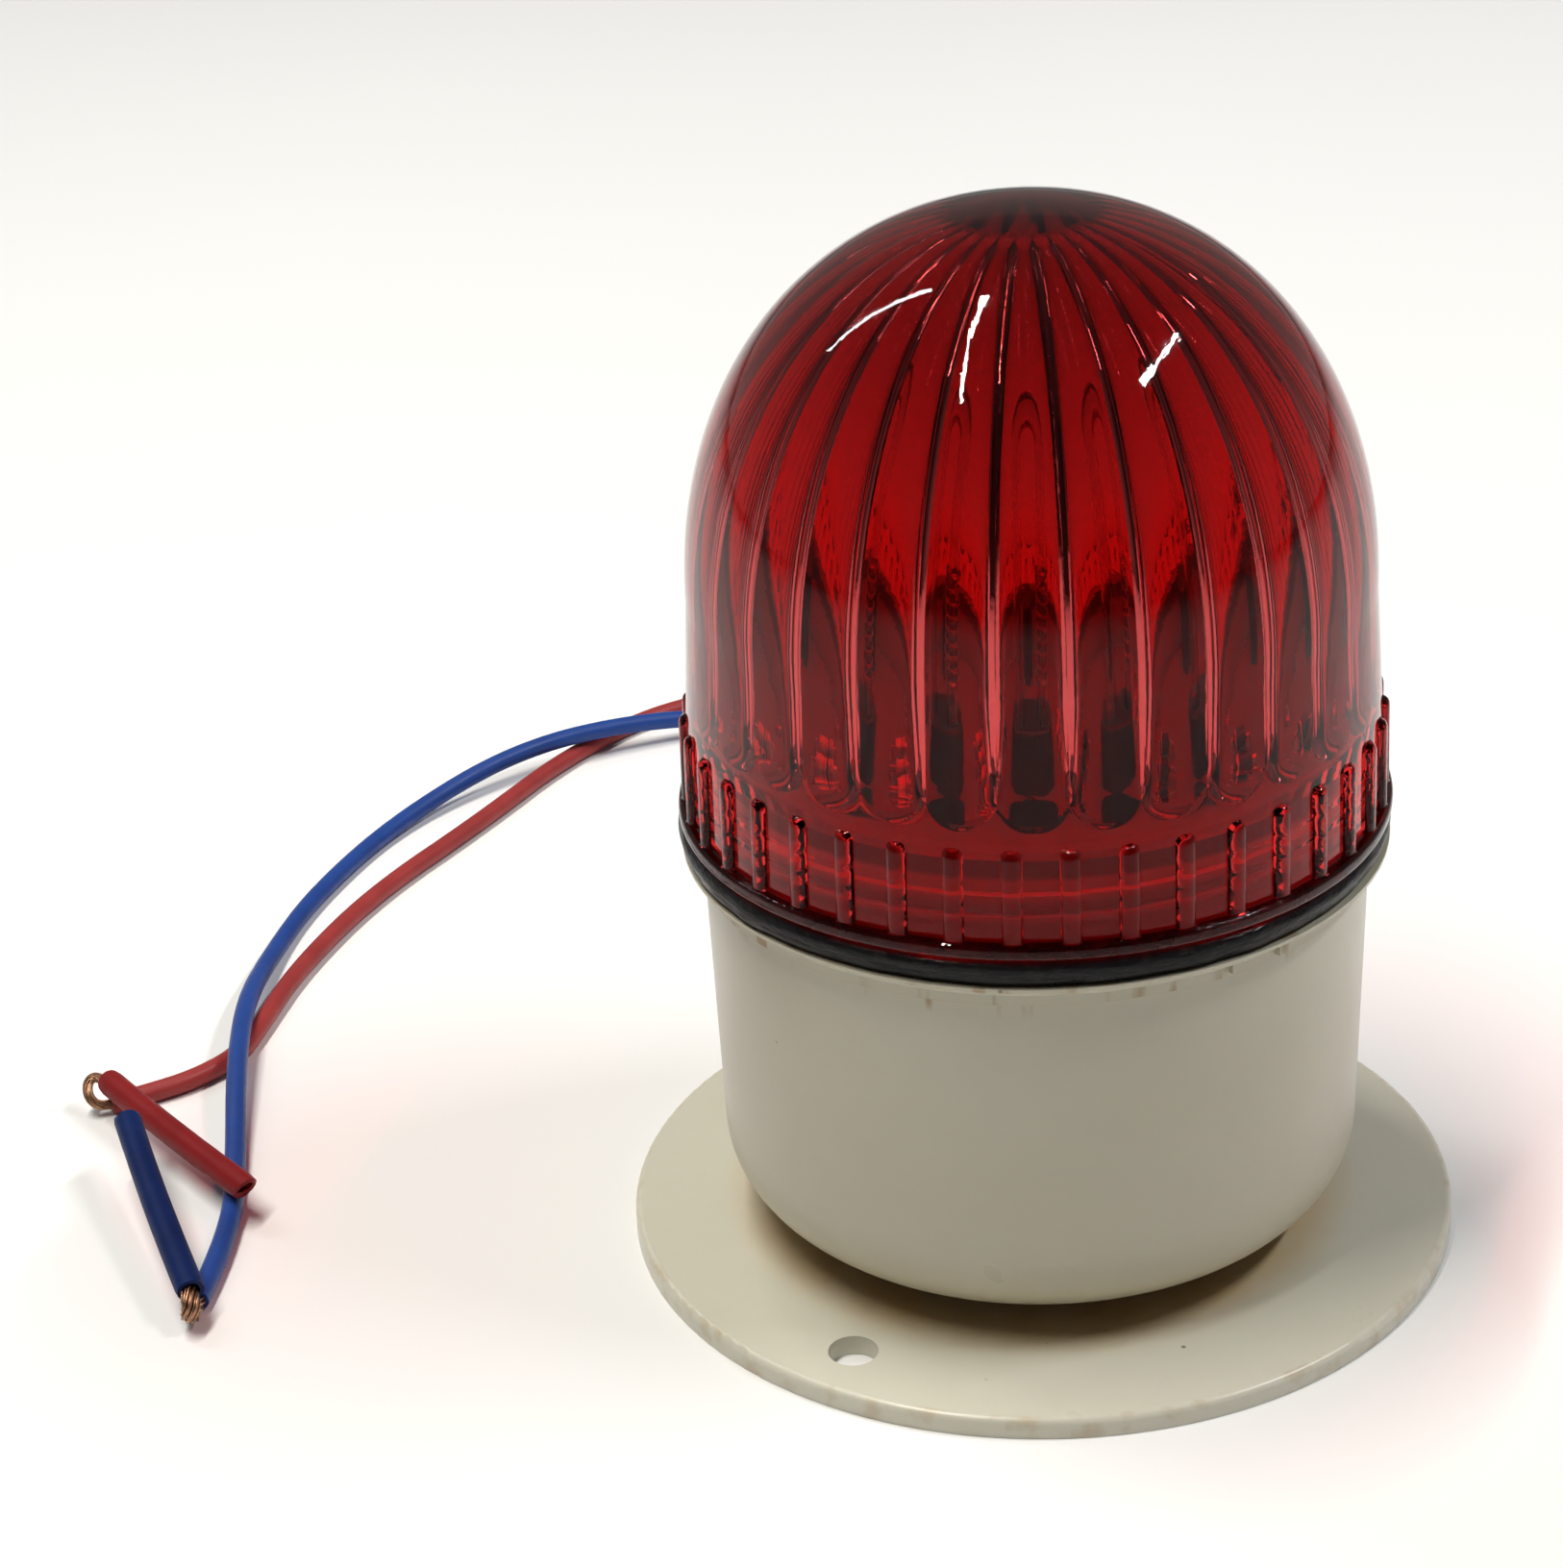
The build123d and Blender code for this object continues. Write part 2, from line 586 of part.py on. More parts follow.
def build_gasket():
    """Rubber ring between the housing shoulder and the lens rim."""
    with BuildPart() as gasket:
        with BuildSketch(Plane.XY.offset(GASKET_BOTTOM_Z)):
            Circle(GASKET_RADIUS)
            Circle(GASKET_BORE_RADIUS, mode=Mode.SUBTRACT)
        extrude(amount=GASKET_TOP_Z - GASKET_BOTTOM_Z)
        circles = gasket.edges().filter_by(GeomType.CIRCLE)
        fillet(circles.filter_by(lambda edge: edge.radius > GASKET_BORE_RADIUS + 1), GASKET_ROUND)
    export(gasket.part, "lens_gasket")


def grip_rib():
    """One short rib with a rounded top, standing out of the lens collar at +X."""
    root_radius = COLLAR_RADIUS - GRIP_RIB_EMBED
    straight_top = GRIP_RIB_TOP_Z - GRIP_RIB_WIDTH / 2
    bottom = BEAD_TOP_Z - GRIP_RIB_FOOT
    with BuildPart() as rib:
        with BuildSketch(Plane(origin=(root_radius, 0, 0), x_dir=(0, 1, 0), z_dir=(1, 0, 0))):
            with Locations((0, (straight_top + bottom) / 2)):
                Rectangle(GRIP_RIB_WIDTH, straight_top - bottom)
            with Locations((0, straight_top)):
                Circle(GRIP_RIB_WIDTH / 2)
        extrude(amount=GRIP_RIB_RADIUS - root_radius)
        fillet(rib.edges().group_by(Axis.X)[-1], GRIP_RIB_ROUND)
    return rib.part


def flute_groove():
    """The groove between two inner ribs of the lens, following the dome at azimuth 0."""
    inner_radius = SPRING_RADIUS - LENS_THICK_WALL
    inner_height = DOME_HEIGHT - LENS_CROWN_WALL
    dome = superellipse_points(inner_radius, inner_height, SPRING_Z, 5, FLUTE_END_RADIUS)
    foot = (COLLAR_TOP_RADIUS - LENS_THICK_WALL, FLUTE_BOTTOM_Z - FLUTE_RUN_OUT)
    with BuildPart() as groove:
        with BuildLine(Plane.XZ) as path:
            Spline(foot, *dome)
        with BuildSketch(Plane(origin=path.line @ 0, x_dir=(1, 0, 0), z_dir=path.line % 0)):
            with BuildLine():
                Polyline(
                    (-FLUTE_OVERCUT, -FLUTE_GROOVE_HALF_WIDTH),
                    (FLUTE_GROOVE_DEPTH, 0),
                    (-FLUTE_OVERCUT, FLUTE_GROOVE_HALF_WIDTH),
                    close=True,
                )
            make_face()
        sweep()
    return groove.part


def build_lens():
    """Domed lens with grip ribs outside, flutes inside and a threaded collar."""
    thick_radius = SPRING_RADIUS - LENS_THICK_WALL
    outer_dome = superellipse_points(SPRING_RADIUS, DOME_HEIGHT, SPRING_Z, 6)
    inner_dome = superellipse_points(thick_radius, DOME_HEIGHT - LENS_CROWN_WALL, SPRING_Z, 6)
    with BuildPart() as lens:
        with BuildSketch(Plane.XZ):
            with BuildLine():
                Polyline(
                    (0, LENS_BOTTOM_Z),
                    (BEAD_RADIUS, LENS_BOTTOM_Z),
                    (BEAD_RADIUS, BEAD_TOP_Z),
                    (COLLAR_RADIUS, BEAD_TOP_Z),
                    (COLLAR_TOP_RADIUS, COLLAR_TOP_Z),
                    (SPRING_RADIUS, SPRING_Z),
                )
                Spline(*outer_dome, tangents=((0, 1), (-1, 0)))
                Line(outer_dome[-1], (0, LENS_BOTTOM_Z))
            make_face()
        revolve(axis=Axis.Z)
        circles = lens.edges().filter_by(GeomType.CIRCLE)
        fillet(circles.filter_by(lambda edge: abs(edge.radius - BEAD_RADIUS) < 0.01), BEAD_ROUND)
        with PolarLocations(0, GRIP_RIB_COUNT, start_angle=GRIP_RIB_START_ANGLE):
            add(grip_rib())
        with BuildSketch(Plane.XZ):
            with BuildLine():
                Polyline(
                    (0, LENS_BOTTOM_Z),
                    (COLLAR_BORE_RADIUS, LENS_BOTTOM_Z),
                    (COLLAR_BORE_RADIUS, NECK_TOP_Z + THREAD_RELIEF),
                    (COLLAR_TOP_RADIUS - LENS_THIN_WALL, FLUTE_BOTTOM_Z),
                    (COLLAR_TOP_RADIUS - LENS_THICK_WALL, FLUTE_BOTTOM_Z),
                    (thick_radius, SPRING_Z),
                )
                Spline(*inner_dome, tangents=((0, 1), (-1, 0)))
                Line(inner_dome[-1], (0, LENS_BOTTOM_Z))
            make_face()
        revolve(axis=Axis.Z, mode=Mode.SUBTRACT)
        with PolarLocations(0, FLUTE_COUNT, start_angle=180 / FLUTE_COUNT):
            add(flute_groove(), mode=Mode.SUBTRACT)
        start_z = THREAD_START_Z + THREAD_PITCH / 2
        add(thread_ridge(COLLAR_BORE_RADIUS, THREAD_EMBED, -THREAD_DEPTH, start_z))
    export(lens.part, "lens")


def build_sounder():
    """Piezo sounder: case, brass diaphragm, ceramic disc, clamp ring and two screws."""
    case_bottom = CAVITY_FLOOR_Z
    ear_z = case_bottom + SOUNDER_PAD_HEIGHT
    with BuildPart() as case:
        with BuildSketch(Plane.XY.offset(case_bottom)):
            Circle(SOUNDER_RADIUS)
        extrude(amount=SOUNDER_HEIGHT)
        fillet(case.edges().group_by(Axis.Z)[-1], SOUNDER_ROUND)
        with BuildSketch(Plane.XY.offset(ear_z)):
            for side in (1, -1):
                with Locations((side * SOUNDER_EAR_OFFSET, 0)):
                    Circle(SOUNDER_EAR_RADIUS)
                with Locations((side * (SOUNDER_EAR_OFFSET - SOUNDER_EAR_REACH / 2), 0)):
                    Rectangle(SOUNDER_EAR_REACH, 2 * SOUNDER_EAR_RADIUS)
        extrude(amount=SOUNDER_EAR_THICKNESS)
        with BuildSketch(Plane.XY.offset(case_bottom)):
            Circle(SOUNDER_PORT_RADIUS)
        extrude(amount=SOUNDER_HEIGHT, mode=Mode.SUBTRACT)
        with BuildSketch(Plane.XY.offset(case_bottom + SOUNDER_BASE)):
            Circle(DIAPHRAGM_RADIUS - DIAPHRAGM_SEAT)
        extrude(amount=SOUNDER_HEIGHT, mode=Mode.SUBTRACT)
        with BuildSketch(Plane.XY.offset(DIAPHRAGM_Z)):
            Circle(SOUNDER_RADIUS - SOUNDER_WALL)
        extrude(amount=SOUNDER_HEIGHT, mode=Mode.SUBTRACT)
        with BuildSketch(Plane.XY.offset(ear_z)):
            with Locations((SOUNDER_EAR_OFFSET, 0), (-SOUNDER_EAR_OFFSET, 0)):
                Circle(SELF_TAP_RADIUS + SCREW_CLEARANCE)
        extrude(amount=SOUNDER_EAR_THICKNESS, mode=Mode.SUBTRACT)
    export(case.part, "sounder_case")

    with BuildPart() as diaphragm:
        with BuildSketch(Plane.XY.offset(DIAPHRAGM_Z)):
            Circle(DIAPHRAGM_RADIUS)
        extrude(amount=DIAPHRAGM_THICKNESS)
    export(diaphragm.part, "sounder_diaphragm")

    ceramic_z = DIAPHRAGM_Z + DIAPHRAGM_THICKNESS
    with BuildPart() as ceramic:
        with BuildSketch(Plane.XY.offset(ceramic_z)):
            Circle(CERAMIC_RADIUS)
        extrude(amount=CERAMIC_THICKNESS)
    export(ceramic.part, "sounder_ceramic")

    with BuildPart() as ring:
        with BuildSketch(Plane.XY.offset(ceramic_z)):
            Circle(SOUNDER_RADIUS - SOUNDER_WALL - CLAMP_RING_GAP)
            Circle(DIAPHRAGM_RADIUS - CLAMP_RING_LAP, mode=Mode.SUBTRACT)
        extrude(amount=CLAMP_RING_HEIGHT)
        chamfer(ring.edges().group_by(Axis.Z)[-1], CLAMP_RING_CHAMFER)
    export(ring.part, "sounder_clamp_ring")

    screw = pan_screw(PAN_HEAD_RADIUS, PAN_HEAD_HEIGHT, SELF_TAP_RADIUS, SOUNDER_SCREW_LENGTH)
    with BuildPart() as screws:
        screw_z = ear_z + SOUNDER_EAR_THICKNESS
        with Locations((SOUNDER_EAR_OFFSET, 0, screw_z), (-SOUNDER_EAR_OFFSET, 0, screw_z)):
            add(screw)
    export(screws.part, "sounder_screws")

    solder_z = ceramic_z + CERAMIC_THICKNESS
    routes = (
        ((4, -3, solder_z), (4, -3, 24), (1, -12, 34), (1, -12, BOARD_BOTTOM_Z)),
        ((-4, -3, solder_z), (-4, -3, 26), (-2, -12, 36), (-2, -12, BOARD_BOTTOM_Z)),
    )
    with BuildPart() as wires:
        for route in routes:
            add(round_tube(route, SOUNDER_WIRE_RADIUS, "sounder wire"))
    export(wires.part, "sounder_wires")


def build_board():
    """Round circuit board and the three screws that hold it on the posts."""
    with BuildPart() as board:
        with BuildSketch(Plane.XY.offset(BOARD_BOTTOM_Z)):
            Circle(BOARD_RADIUS)
            with PolarLocations(POST_CIRCLE_RADIUS, POST_COUNT, start_angle=POST_START_ANGLE):
                Circle(SELF_TAP_RADIUS + SCREW_CLEARANCE, mode=Mode.SUBTRACT)
        extrude(amount=BOARD_THICKNESS)
    export(board.part, "circuit_board")

    screw = pan_screw(PAN_HEAD_RADIUS, PAN_HEAD_HEIGHT, SELF_TAP_RADIUS, BOARD_SCREW_LENGTH)
    with BuildPart() as screws:
        with BuildPart(Plane.XY.offset(BOARD_TOP_Z), mode=Mode.PRIVATE) as placed:
            with PolarLocations(POST_CIRCLE_RADIUS, POST_COUNT, start_angle=POST_START_ANGLE):
                add(screw)
        add(placed.part)
    export(screws.part, "board_screws")


def build_flash_tube():
    """U-shaped flash tube with its socket, electrodes and trigger wire."""
    with BuildPart() as socket:
        with BuildSketch(Plane.XY.offset(BOARD_TOP_Z)):
            SlotCenterToCenter(2 * TUBE_LEG_OFFSET, SOCKET_WIDTH)
        extrude(amount=SOCKET_HEIGHT)
        fillet(socket.edges().group_by(Axis.Z)[-1], SOCKET_ROUND)
        with BuildSketch(Plane.XY.offset(BOARD_TOP_Z + SOCKET_HEIGHT)):
            with Locations((TUBE_LEG_OFFSET, 0), (-TUBE_LEG_OFFSET, 0)):
                Circle(TUBE_RADIUS + TUBE_GAP)
        extrude(amount=TUBE_BOTTOM_Z - BOARD_TOP_Z - SOCKET_HEIGHT, mode=Mode.SUBTRACT)
    export(socket.part, "tube_socket")

    with BuildPart() as tube:
        with BuildLine(Plane.XZ) as path:
            left = Line((-TUBE_LEG_OFFSET, TUBE_BOTTOM_Z), (-TUBE_LEG_OFFSET, TUBE_BEND_Z))
            RadiusArc(left @ 1, (TUBE_LEG_OFFSET, TUBE_BEND_Z), TUBE_LEG_OFFSET)
            Line((TUBE_LEG_OFFSET, TUBE_BEND_Z), (TUBE_LEG_OFFSET, TUBE_BOTTOM_Z))
        with BuildSketch(Plane(origin=path.line @ 0, z_dir=path.line % 0)):
            Circle(TUBE_RADIUS)
            Circle(TUBE_BORE, mode=Mode.SUBTRACT)
        sweep()
    export(tube.part, "flash_tube")

    with BuildPart() as electrodes:
        with BuildSketch(Plane.XY.offset(TUBE_BOTTOM_Z)):
            with Locations((TUBE_LEG_OFFSET, 0), (-TUBE_LEG_OFFSET, 0)):
                Circle(TUBE_BORE - TUBE_GAP)
        extrude(amount=ELECTRODE_LENGTH)
        fillet(electrodes.edges().group_by(Axis.Z)[-1], ELECTRODE_ROUND)
    export(electrodes.part, "tube_electrodes")

    wound_radius = TUBE_RADIUS + TRIGGER_WIRE_RADIUS + TUBE_GAP
    wound_height = TRIGGER_WIRE_PITCH * TRIGGER_WIRE_TURNS
    foot = (-TUBE_LEG_OFFSET, 0, TRIGGER_WIRE_Z)
    with BuildPart() as wire:
        with BuildLine() as path:
            Helix(TRIGGER_WIRE_PITCH, wound_height, wound_radius, center=foot)
        with BuildSketch(Plane(origin=path.line @ 0, z_dir=path.line % 0)):
            Circle(TRIGGER_WIRE_RADIUS)
        sweep(is_frenet=True)
    export(wire.part, "trigger_wire")


def build_board_top_parts():
    """Trigger coil, resistors and diodes on the upper face of the board."""
    with BuildPart() as coil:
        with BuildSketch(Plane.XY.offset(BOARD_TOP_Z)):
            with Locations(TRIGGER_COIL_PLACE):
                Circle(TRIGGER_COIL_RADIUS)
        extrude(amount=TRIGGER_COIL_HEIGHT)
        fillet(coil.edges().group_by(Axis.Z)[-1], TRIGGER_COIL_ROUND)
    export(coil.part, "trigger_coil")

    resistor = axial_component(body_radius=1.15, body_length=6.2, lead_span=10.5, height=1.6)
    with BuildPart() as resistors:
        with Locations(*[(RESISTOR_X, y, BOARD_TOP_Z) for y in RESISTOR_ROWS]):
            add(resistor)
    export(resistors.part, "resistors")

    diode = axial_component(body_radius=1.35, body_length=5.0, lead_span=9.5, height=1.8)
    with BuildPart() as diodes:
        with Locations(*[(DIODE_X, y, BOARD_TOP_Z) for y in DIODE_ROWS]):
            add(diode)
    export(diodes.part, "diodes")


def build_capacitor():
    """Storage capacitor hanging under the board, its sleeve crimped near the top."""
    with BuildPart() as capacitor:
        with BuildSketch(Plane.XY.offset(BOARD_BOTTOM_Z)):
            with Locations(CAPACITOR_PLACE):
                Circle(CAPACITOR_RADIUS)
        extrude(amount=-CAPACITOR_LENGTH)
        fillet(capacitor.edges().group_by(Axis.Z)[0], CAPACITOR_ROUND)
        with BuildSketch(Plane.XY.offset(BOARD_BOTTOM_Z - CAPACITOR_BEAD_DROP)):
            with Locations(CAPACITOR_PLACE):
                Circle(CAPACITOR_RADIUS + CAPACITOR_BEAD_DEPTH)
                Circle(CAPACITOR_RADIUS - CAPACITOR_BEAD_DEPTH, mode=Mode.SUBTRACT)
        extrude(amount=-CAPACITOR_BEAD_WIDTH, mode=Mode.SUBTRACT)
    export(capacitor.part, "storage_capacitor")


def build_transformer():
    """Inverter transformer: a two-window ferrite core with a winding on its middle leg."""
    core_x, core_y = CORE_PLACE
    core_top = BOARD_BOTTOM_Z - CORE_DROP
    window_height = CORE_HEIGHT - 2 * CORE_YOKE
    window_offset = (CORE_LEG_WIDTH + CORE_WINDOW_WIDTH) / 2
    with BuildPart() as core:
        with BuildSketch(Plane.XY.offset(core_top)):
            with Locations(CORE_PLACE):
                Rectangle(CORE_WIDTH, CORE_DEPTH)
        extrude(amount=-CORE_HEIGHT)
        with BuildSketch(Plane.XZ.offset(-core_y)):
            for side in (1, -1):
                with Locations((core_x + side * window_offset, core_top - CORE_HEIGHT / 2)):
                    Rectangle(CORE_WINDOW_WIDTH, window_height)
        extrude(amount=CORE_DEPTH, both=True, mode=Mode.SUBTRACT)
    export(core.part, "transformer_core")

    with BuildPart() as winding:
        with BuildSketch(Plane.XY.offset(core_top - CORE_YOKE - WINDING_GAP)):
            with Locations(CORE_PLACE):
                RectangleRounded(WINDING_SIZE, WINDING_SIZE, WINDING_CORNER)
                Rectangle(CORE_LEG_WIDTH + WINDING_GAP, CORE_DEPTH + WINDING_GAP, mode=Mode.SUBTRACT)
        extrude(amount=2 * WINDING_GAP - window_height)
    export(winding.part, "transformer_winding")


def build_transistor():
    """Switching transistor with its cooling tab and three legs into the board."""
    case_top = BOARD_BOTTOM_Z - TRANSISTOR_LEG_LENGTH
    tab_y = TRANSISTOR_Y - (TRANSISTOR_THICKNESS - TRANSISTOR_TAB_THICKNESS) / 2
    tab_hole_z = case_top - TRANSISTOR_TAB_HEIGHT + TRANSISTOR_TAB_HOLE + TRANSISTOR_TAB_THICKNESS
    legs = [(step * TRANSISTOR_LEG_PITCH, TRANSISTOR_Y) for step in (-1, 0, 1)]
    with BuildPart() as transistor:
        with BuildSketch(Plane.XY.offset(case_top)):
            with Locations((0, TRANSISTOR_Y)):
                Rectangle(TRANSISTOR_WIDTH, TRANSISTOR_THICKNESS)
        extrude(amount=-TRANSISTOR_BODY_HEIGHT)
        with BuildSketch(Plane.XY.offset(case_top)):
            with Locations((0, tab_y)):
                Rectangle(TRANSISTOR_WIDTH, TRANSISTOR_TAB_THICKNESS)
        extrude(amount=-TRANSISTOR_TAB_HEIGHT)
        with BuildSketch(Plane.XY.offset(BOARD_BOTTOM_Z)):
            with Locations(*legs):
                Rectangle(TRANSISTOR_LEG_WIDTH, TRANSISTOR_LEG_THICKNESS)
        extrude(amount=-TRANSISTOR_LEG_LENGTH)
        with BuildSketch(Plane.XZ.offset(-TRANSISTOR_Y)):
            with Locations((0, tab_hole_z)):
                Circle(TRANSISTOR_TAB_HOLE)
        extrude(amount=TRANSISTOR_THICKNESS, mode=Mode.SUBTRACT)
    export(transistor.part, "switching_transistor")


def build_terminal():
    """Screw terminal under the board, its wire mouths facing down and screws facing -Y."""
    front_offset = TERMINAL_HALF_DEPTH - TERMINAL_Y
    screw_z = BOARD_BOTTOM_Z - TERMINAL_SCREW_DROP
    screw_places = [(side * TERMINAL_OFFSET, screw_z) for side in (1, -1)]
    with BuildPart() as block:
        with BuildSketch(Plane.XY.offset(BOARD_BOTTOM_Z)):
            with Locations((0, TERMINAL_Y)):
                Rectangle(TERMINAL_LENGTH, 2 * TERMINAL_HALF_DEPTH)
        extrude(amount=-TERMINAL_HEIGHT)
        chamfer(block.edges().filter_by(Axis.Z), TERMINAL_CHAMFER)
        with BuildSketch(Plane.XY.offset(BOARD_BOTTOM_Z - TERMINAL_HEIGHT)):
            with Locations((TERMINAL_OFFSET, TERMINAL_Y), (-TERMINAL_OFFSET, TERMINAL_Y)):
                Circle(LEAD_RADIUS + TERMINAL_MOUTH_GAP)
        extrude(amount=TERMINAL_MOUTH_DEPTH, mode=Mode.SUBTRACT)
        with BuildSketch(Plane.XZ.offset(front_offset)):
            with Locations(*screw_places):
                Circle(TERMINAL_SCREW_RADIUS + TERMINAL_SCREW_GAP)
        extrude(amount=-TERMINAL_WELL_DEPTH, mode=Mode.SUBTRACT)
    export(block.part, "terminal_block")

    screw_face = Plane.XZ.offset(front_offset - TERMINAL_SCREW_SINK)
    with BuildPart() as screws:
        with BuildSketch(screw_face):
            with Locations(*screw_places):
                Circle(TERMINAL_SCREW_RADIUS)
        extrude(amount=-TERMINAL_SCREW_LENGTH)
        with BuildSketch(screw_face):
            with Locations(*screw_places):
                Rectangle(2 * TERMINAL_SCREW_RADIUS, TERMINAL_SLOT_WIDTH)
        extrude(amount=-TERMINAL_SLOT_DEPTH, mode=Mode.SUBTRACT)
    export(screws.part, "terminal_screws")


def exit_plane(y):
    """A plane across the lead exit at the given y, facing the inside of the housing."""
    return Plane(origin=(0, y, LEAD_EXIT_Z), x_dir=(1, 0, 0), z_dir=(0, -1, 0))


def build_lead_exit():
    """Rubber grommet in the rear wall, cable tie behind it and the leads inside."""
    with BuildPart() as grommet:
        with BuildSketch(exit_plane(GROMMET_FACE_Y)):
            Circle(GROMMET_RADIUS)
        extrude(amount=GROMMET_FACE_Y - GROMMET_SEAT_Y)
        fillet(grommet.edges().group_by(Axis.Y)[-1], GROMMET_ROUND)
        with BuildSketch(exit_plane(GROMMET_SEAT_Y)):
            Circle(GROMMET_WAIST_RADIUS)
        extrude(amount=GROMMET_SEAT_Y - GROMMET_INNER_Y)
        with BuildSketch(exit_plane(GROMMET_INNER_Y + GROMMET_LIP)):
            Circle(GROMMET_RADIUS - GROMMET_LIP_STEP)
        extrude(amount=GROMMET_LIP)
        with BuildSketch(exit_plane(GROMMET_FACE_Y)):
            with Locations((LEAD_SPACING, 0), (-LEAD_SPACING, 0)):
                Circle(LEAD_RADIUS + GROMMET_BORE_GAP)
        extrude(amount=GROMMET_FACE_Y - GROMMET_INNER_Y, mode=Mode.SUBTRACT)
    export(grommet.part, "cable_grommet")

    with BuildPart() as tie:
        with BuildSketch(exit_plane(GROMMET_INNER_Y - TIE_SETBACK)):
            SlotCenterToCenter(2 * LEAD_SPACING, 2 * (LEAD_RADIUS + TIE_THICKNESS))
            SlotCenterToCenter(2 * LEAD_SPACING, 2 * (LEAD_RADIUS + TIE_GAP), mode=Mode.SUBTRACT)
            with Locations((0, TIE_HEAD_DROP)):
                Rectangle(TIE_HEAD_WIDTH, TIE_HEAD_HEIGHT)
        extrude(amount=TIE_WIDTH)
    export(tie.part, "cable_tie")

    inner_end_z = BOARD_BOTTOM_Z - TERMINAL_HEIGHT + TERMINAL_MOUTH_DEPTH / 2
    for side, colour in ((-1, "blue"), (1, "red")):
        route = (
            (side * LEAD_SPACING, GROMMET_FACE_Y, LEAD_EXIT_Z),
            (side * LEAD_SPACING, TERMINAL_Y, LEAD_EXIT_Z),
            (side * TERMINAL_OFFSET, TERMINAL_Y + INNER_LEAD_LEAN, INNER_BEND_Z),
            (side * TERMINAL_OFFSET, TERMINAL_Y, inner_end_z),
        )
        inner = round_tube(route, LEAD_RADIUS, f"{colour} inner lead")
        export(inner, f"{colour}_inner_lead")


def build_leads():
    """Free leads on the standing surface, their bare strands and end sleeves."""
    export(round_tube(BLUE_ROUTE, LEAD_RADIUS, "blue lead"), "blue_lead")
    export(round_tube(RED_ROUTE, LEAD_RADIUS, "red lead"), "red_lead")
    blue_strands = round_tube(BLUE_STRANDS_ROUTE, CONDUCTOR_RADIUS, "blue strands")
    export(blue_strands, "blue_strands")
    red_strands = round_tube(RED_STRANDS_ROUTE, CONDUCTOR_RADIUS, "red strands")
    export(red_strands, "red_strands")
    ends = (
        (BLUE_STRANDS_ROUTE, BLUE_SLEEVE_LENGTH, "blue_sleeve"),
        (RED_STRANDS_ROUTE, SLEEVE_LENGTH, "red_sleeve"),
    )
    for route, length, label in ends:
        fold, tip = Vector(*route[-2]), Vector(*route[-1])
        start = fold + (tip - fold).normalized() * SLEEVE_SETBACK
        export(straight_sleeve(start, tip, length), label)


def main():
    os.makedirs("parts", exist_ok=True)
    build_flange()
    build_flange_screws()
    build_housing()
    build_gasket()
    build_lens()
    build_sounder()
    build_board()
    build_flash_tube()
    build_board_top_parts()
    build_capacitor()
    build_transformer()
    build_transistor()
    build_terminal()
    build_lead_exit()
    build_leads()


main()
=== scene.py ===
"""Looks of the alarm siren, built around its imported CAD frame. Metres, +Z up, the CAD's own frame."""
import random
from math import asin, cos, pi, radians, sin, sqrt, tau

import bpy
import numpy as np
from mathutils import Matrix, Vector


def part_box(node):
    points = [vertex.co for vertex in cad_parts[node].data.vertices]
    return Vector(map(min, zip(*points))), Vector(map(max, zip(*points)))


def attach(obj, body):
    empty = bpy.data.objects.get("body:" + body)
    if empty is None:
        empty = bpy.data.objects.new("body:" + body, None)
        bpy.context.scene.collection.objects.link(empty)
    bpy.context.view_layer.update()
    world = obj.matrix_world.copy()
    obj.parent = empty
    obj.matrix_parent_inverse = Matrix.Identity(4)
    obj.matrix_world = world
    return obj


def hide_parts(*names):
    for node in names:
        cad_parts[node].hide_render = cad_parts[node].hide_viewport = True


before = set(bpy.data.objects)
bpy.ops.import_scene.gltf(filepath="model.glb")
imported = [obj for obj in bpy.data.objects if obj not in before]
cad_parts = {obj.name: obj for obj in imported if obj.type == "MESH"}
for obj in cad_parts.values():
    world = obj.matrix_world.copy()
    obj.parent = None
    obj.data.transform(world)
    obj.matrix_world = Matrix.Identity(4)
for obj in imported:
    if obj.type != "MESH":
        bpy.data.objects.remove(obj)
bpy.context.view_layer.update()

MM = 0.001

# Camera: where it stands, how it is turned, and its lens on a 36 mm sensor along the image's height
CAMERA_BACK = 0.36295
CAMERA_UP = 0.23327
CAMERA_YAW = 0.0808
CAMERA_PITCH = 0.4509
CAMERA_ROLL = -0.053
CAMERA_LENS = 79.243
SENSOR = 36.0

# Supply leads, in millimetres until they are made
LEAD_RADIUS = 1.35
LEAD_SPACING = 1.75
LEAD_EXIT_Z = 18.0
LEAD_FLOOR_Z = 1.4
LEAD_OVER_Z = 4.35
GROMMET_FACE_Y = 40.2

BLUE_ROUTE = (
    (-LEAD_SPACING, GROMMET_FACE_Y, LEAD_EXIT_Z),
    (-LEAD_SPACING, 52.0, LEAD_EXIT_Z),
    (-1.0, 65.0, 8.0),
    (1.0, 81.0, LEAD_FLOOR_Z),
    (3.0, 102.0, LEAD_FLOOR_Z),
    (-6.0, 123.0, LEAD_FLOOR_Z),
    (-23.0, 136.0, LEAD_FLOOR_Z),
    (-43.0, 139.5, LEAD_FLOOR_Z),
    (-62.0, 132.5, LEAD_OVER_Z),
    (-80.5, 122.5, LEAD_OVER_Z),
    (-96.5, 104.5, LEAD_FLOOR_Z),
    (-105.3, 80.0, LEAD_FLOOR_Z),
    (-108.3, 61.0, LEAD_FLOOR_Z),
    (-108.0, 43.0, LEAD_OVER_Z),
    (-105.5, 24.5, LEAD_OVER_Z),
    (-102.5, 8.0, LEAD_FLOOR_Z),
    (-99.5, -9.0, LEAD_FLOOR_Z),
    (-100.6, -24.0, LEAD_FLOOR_Z),
)

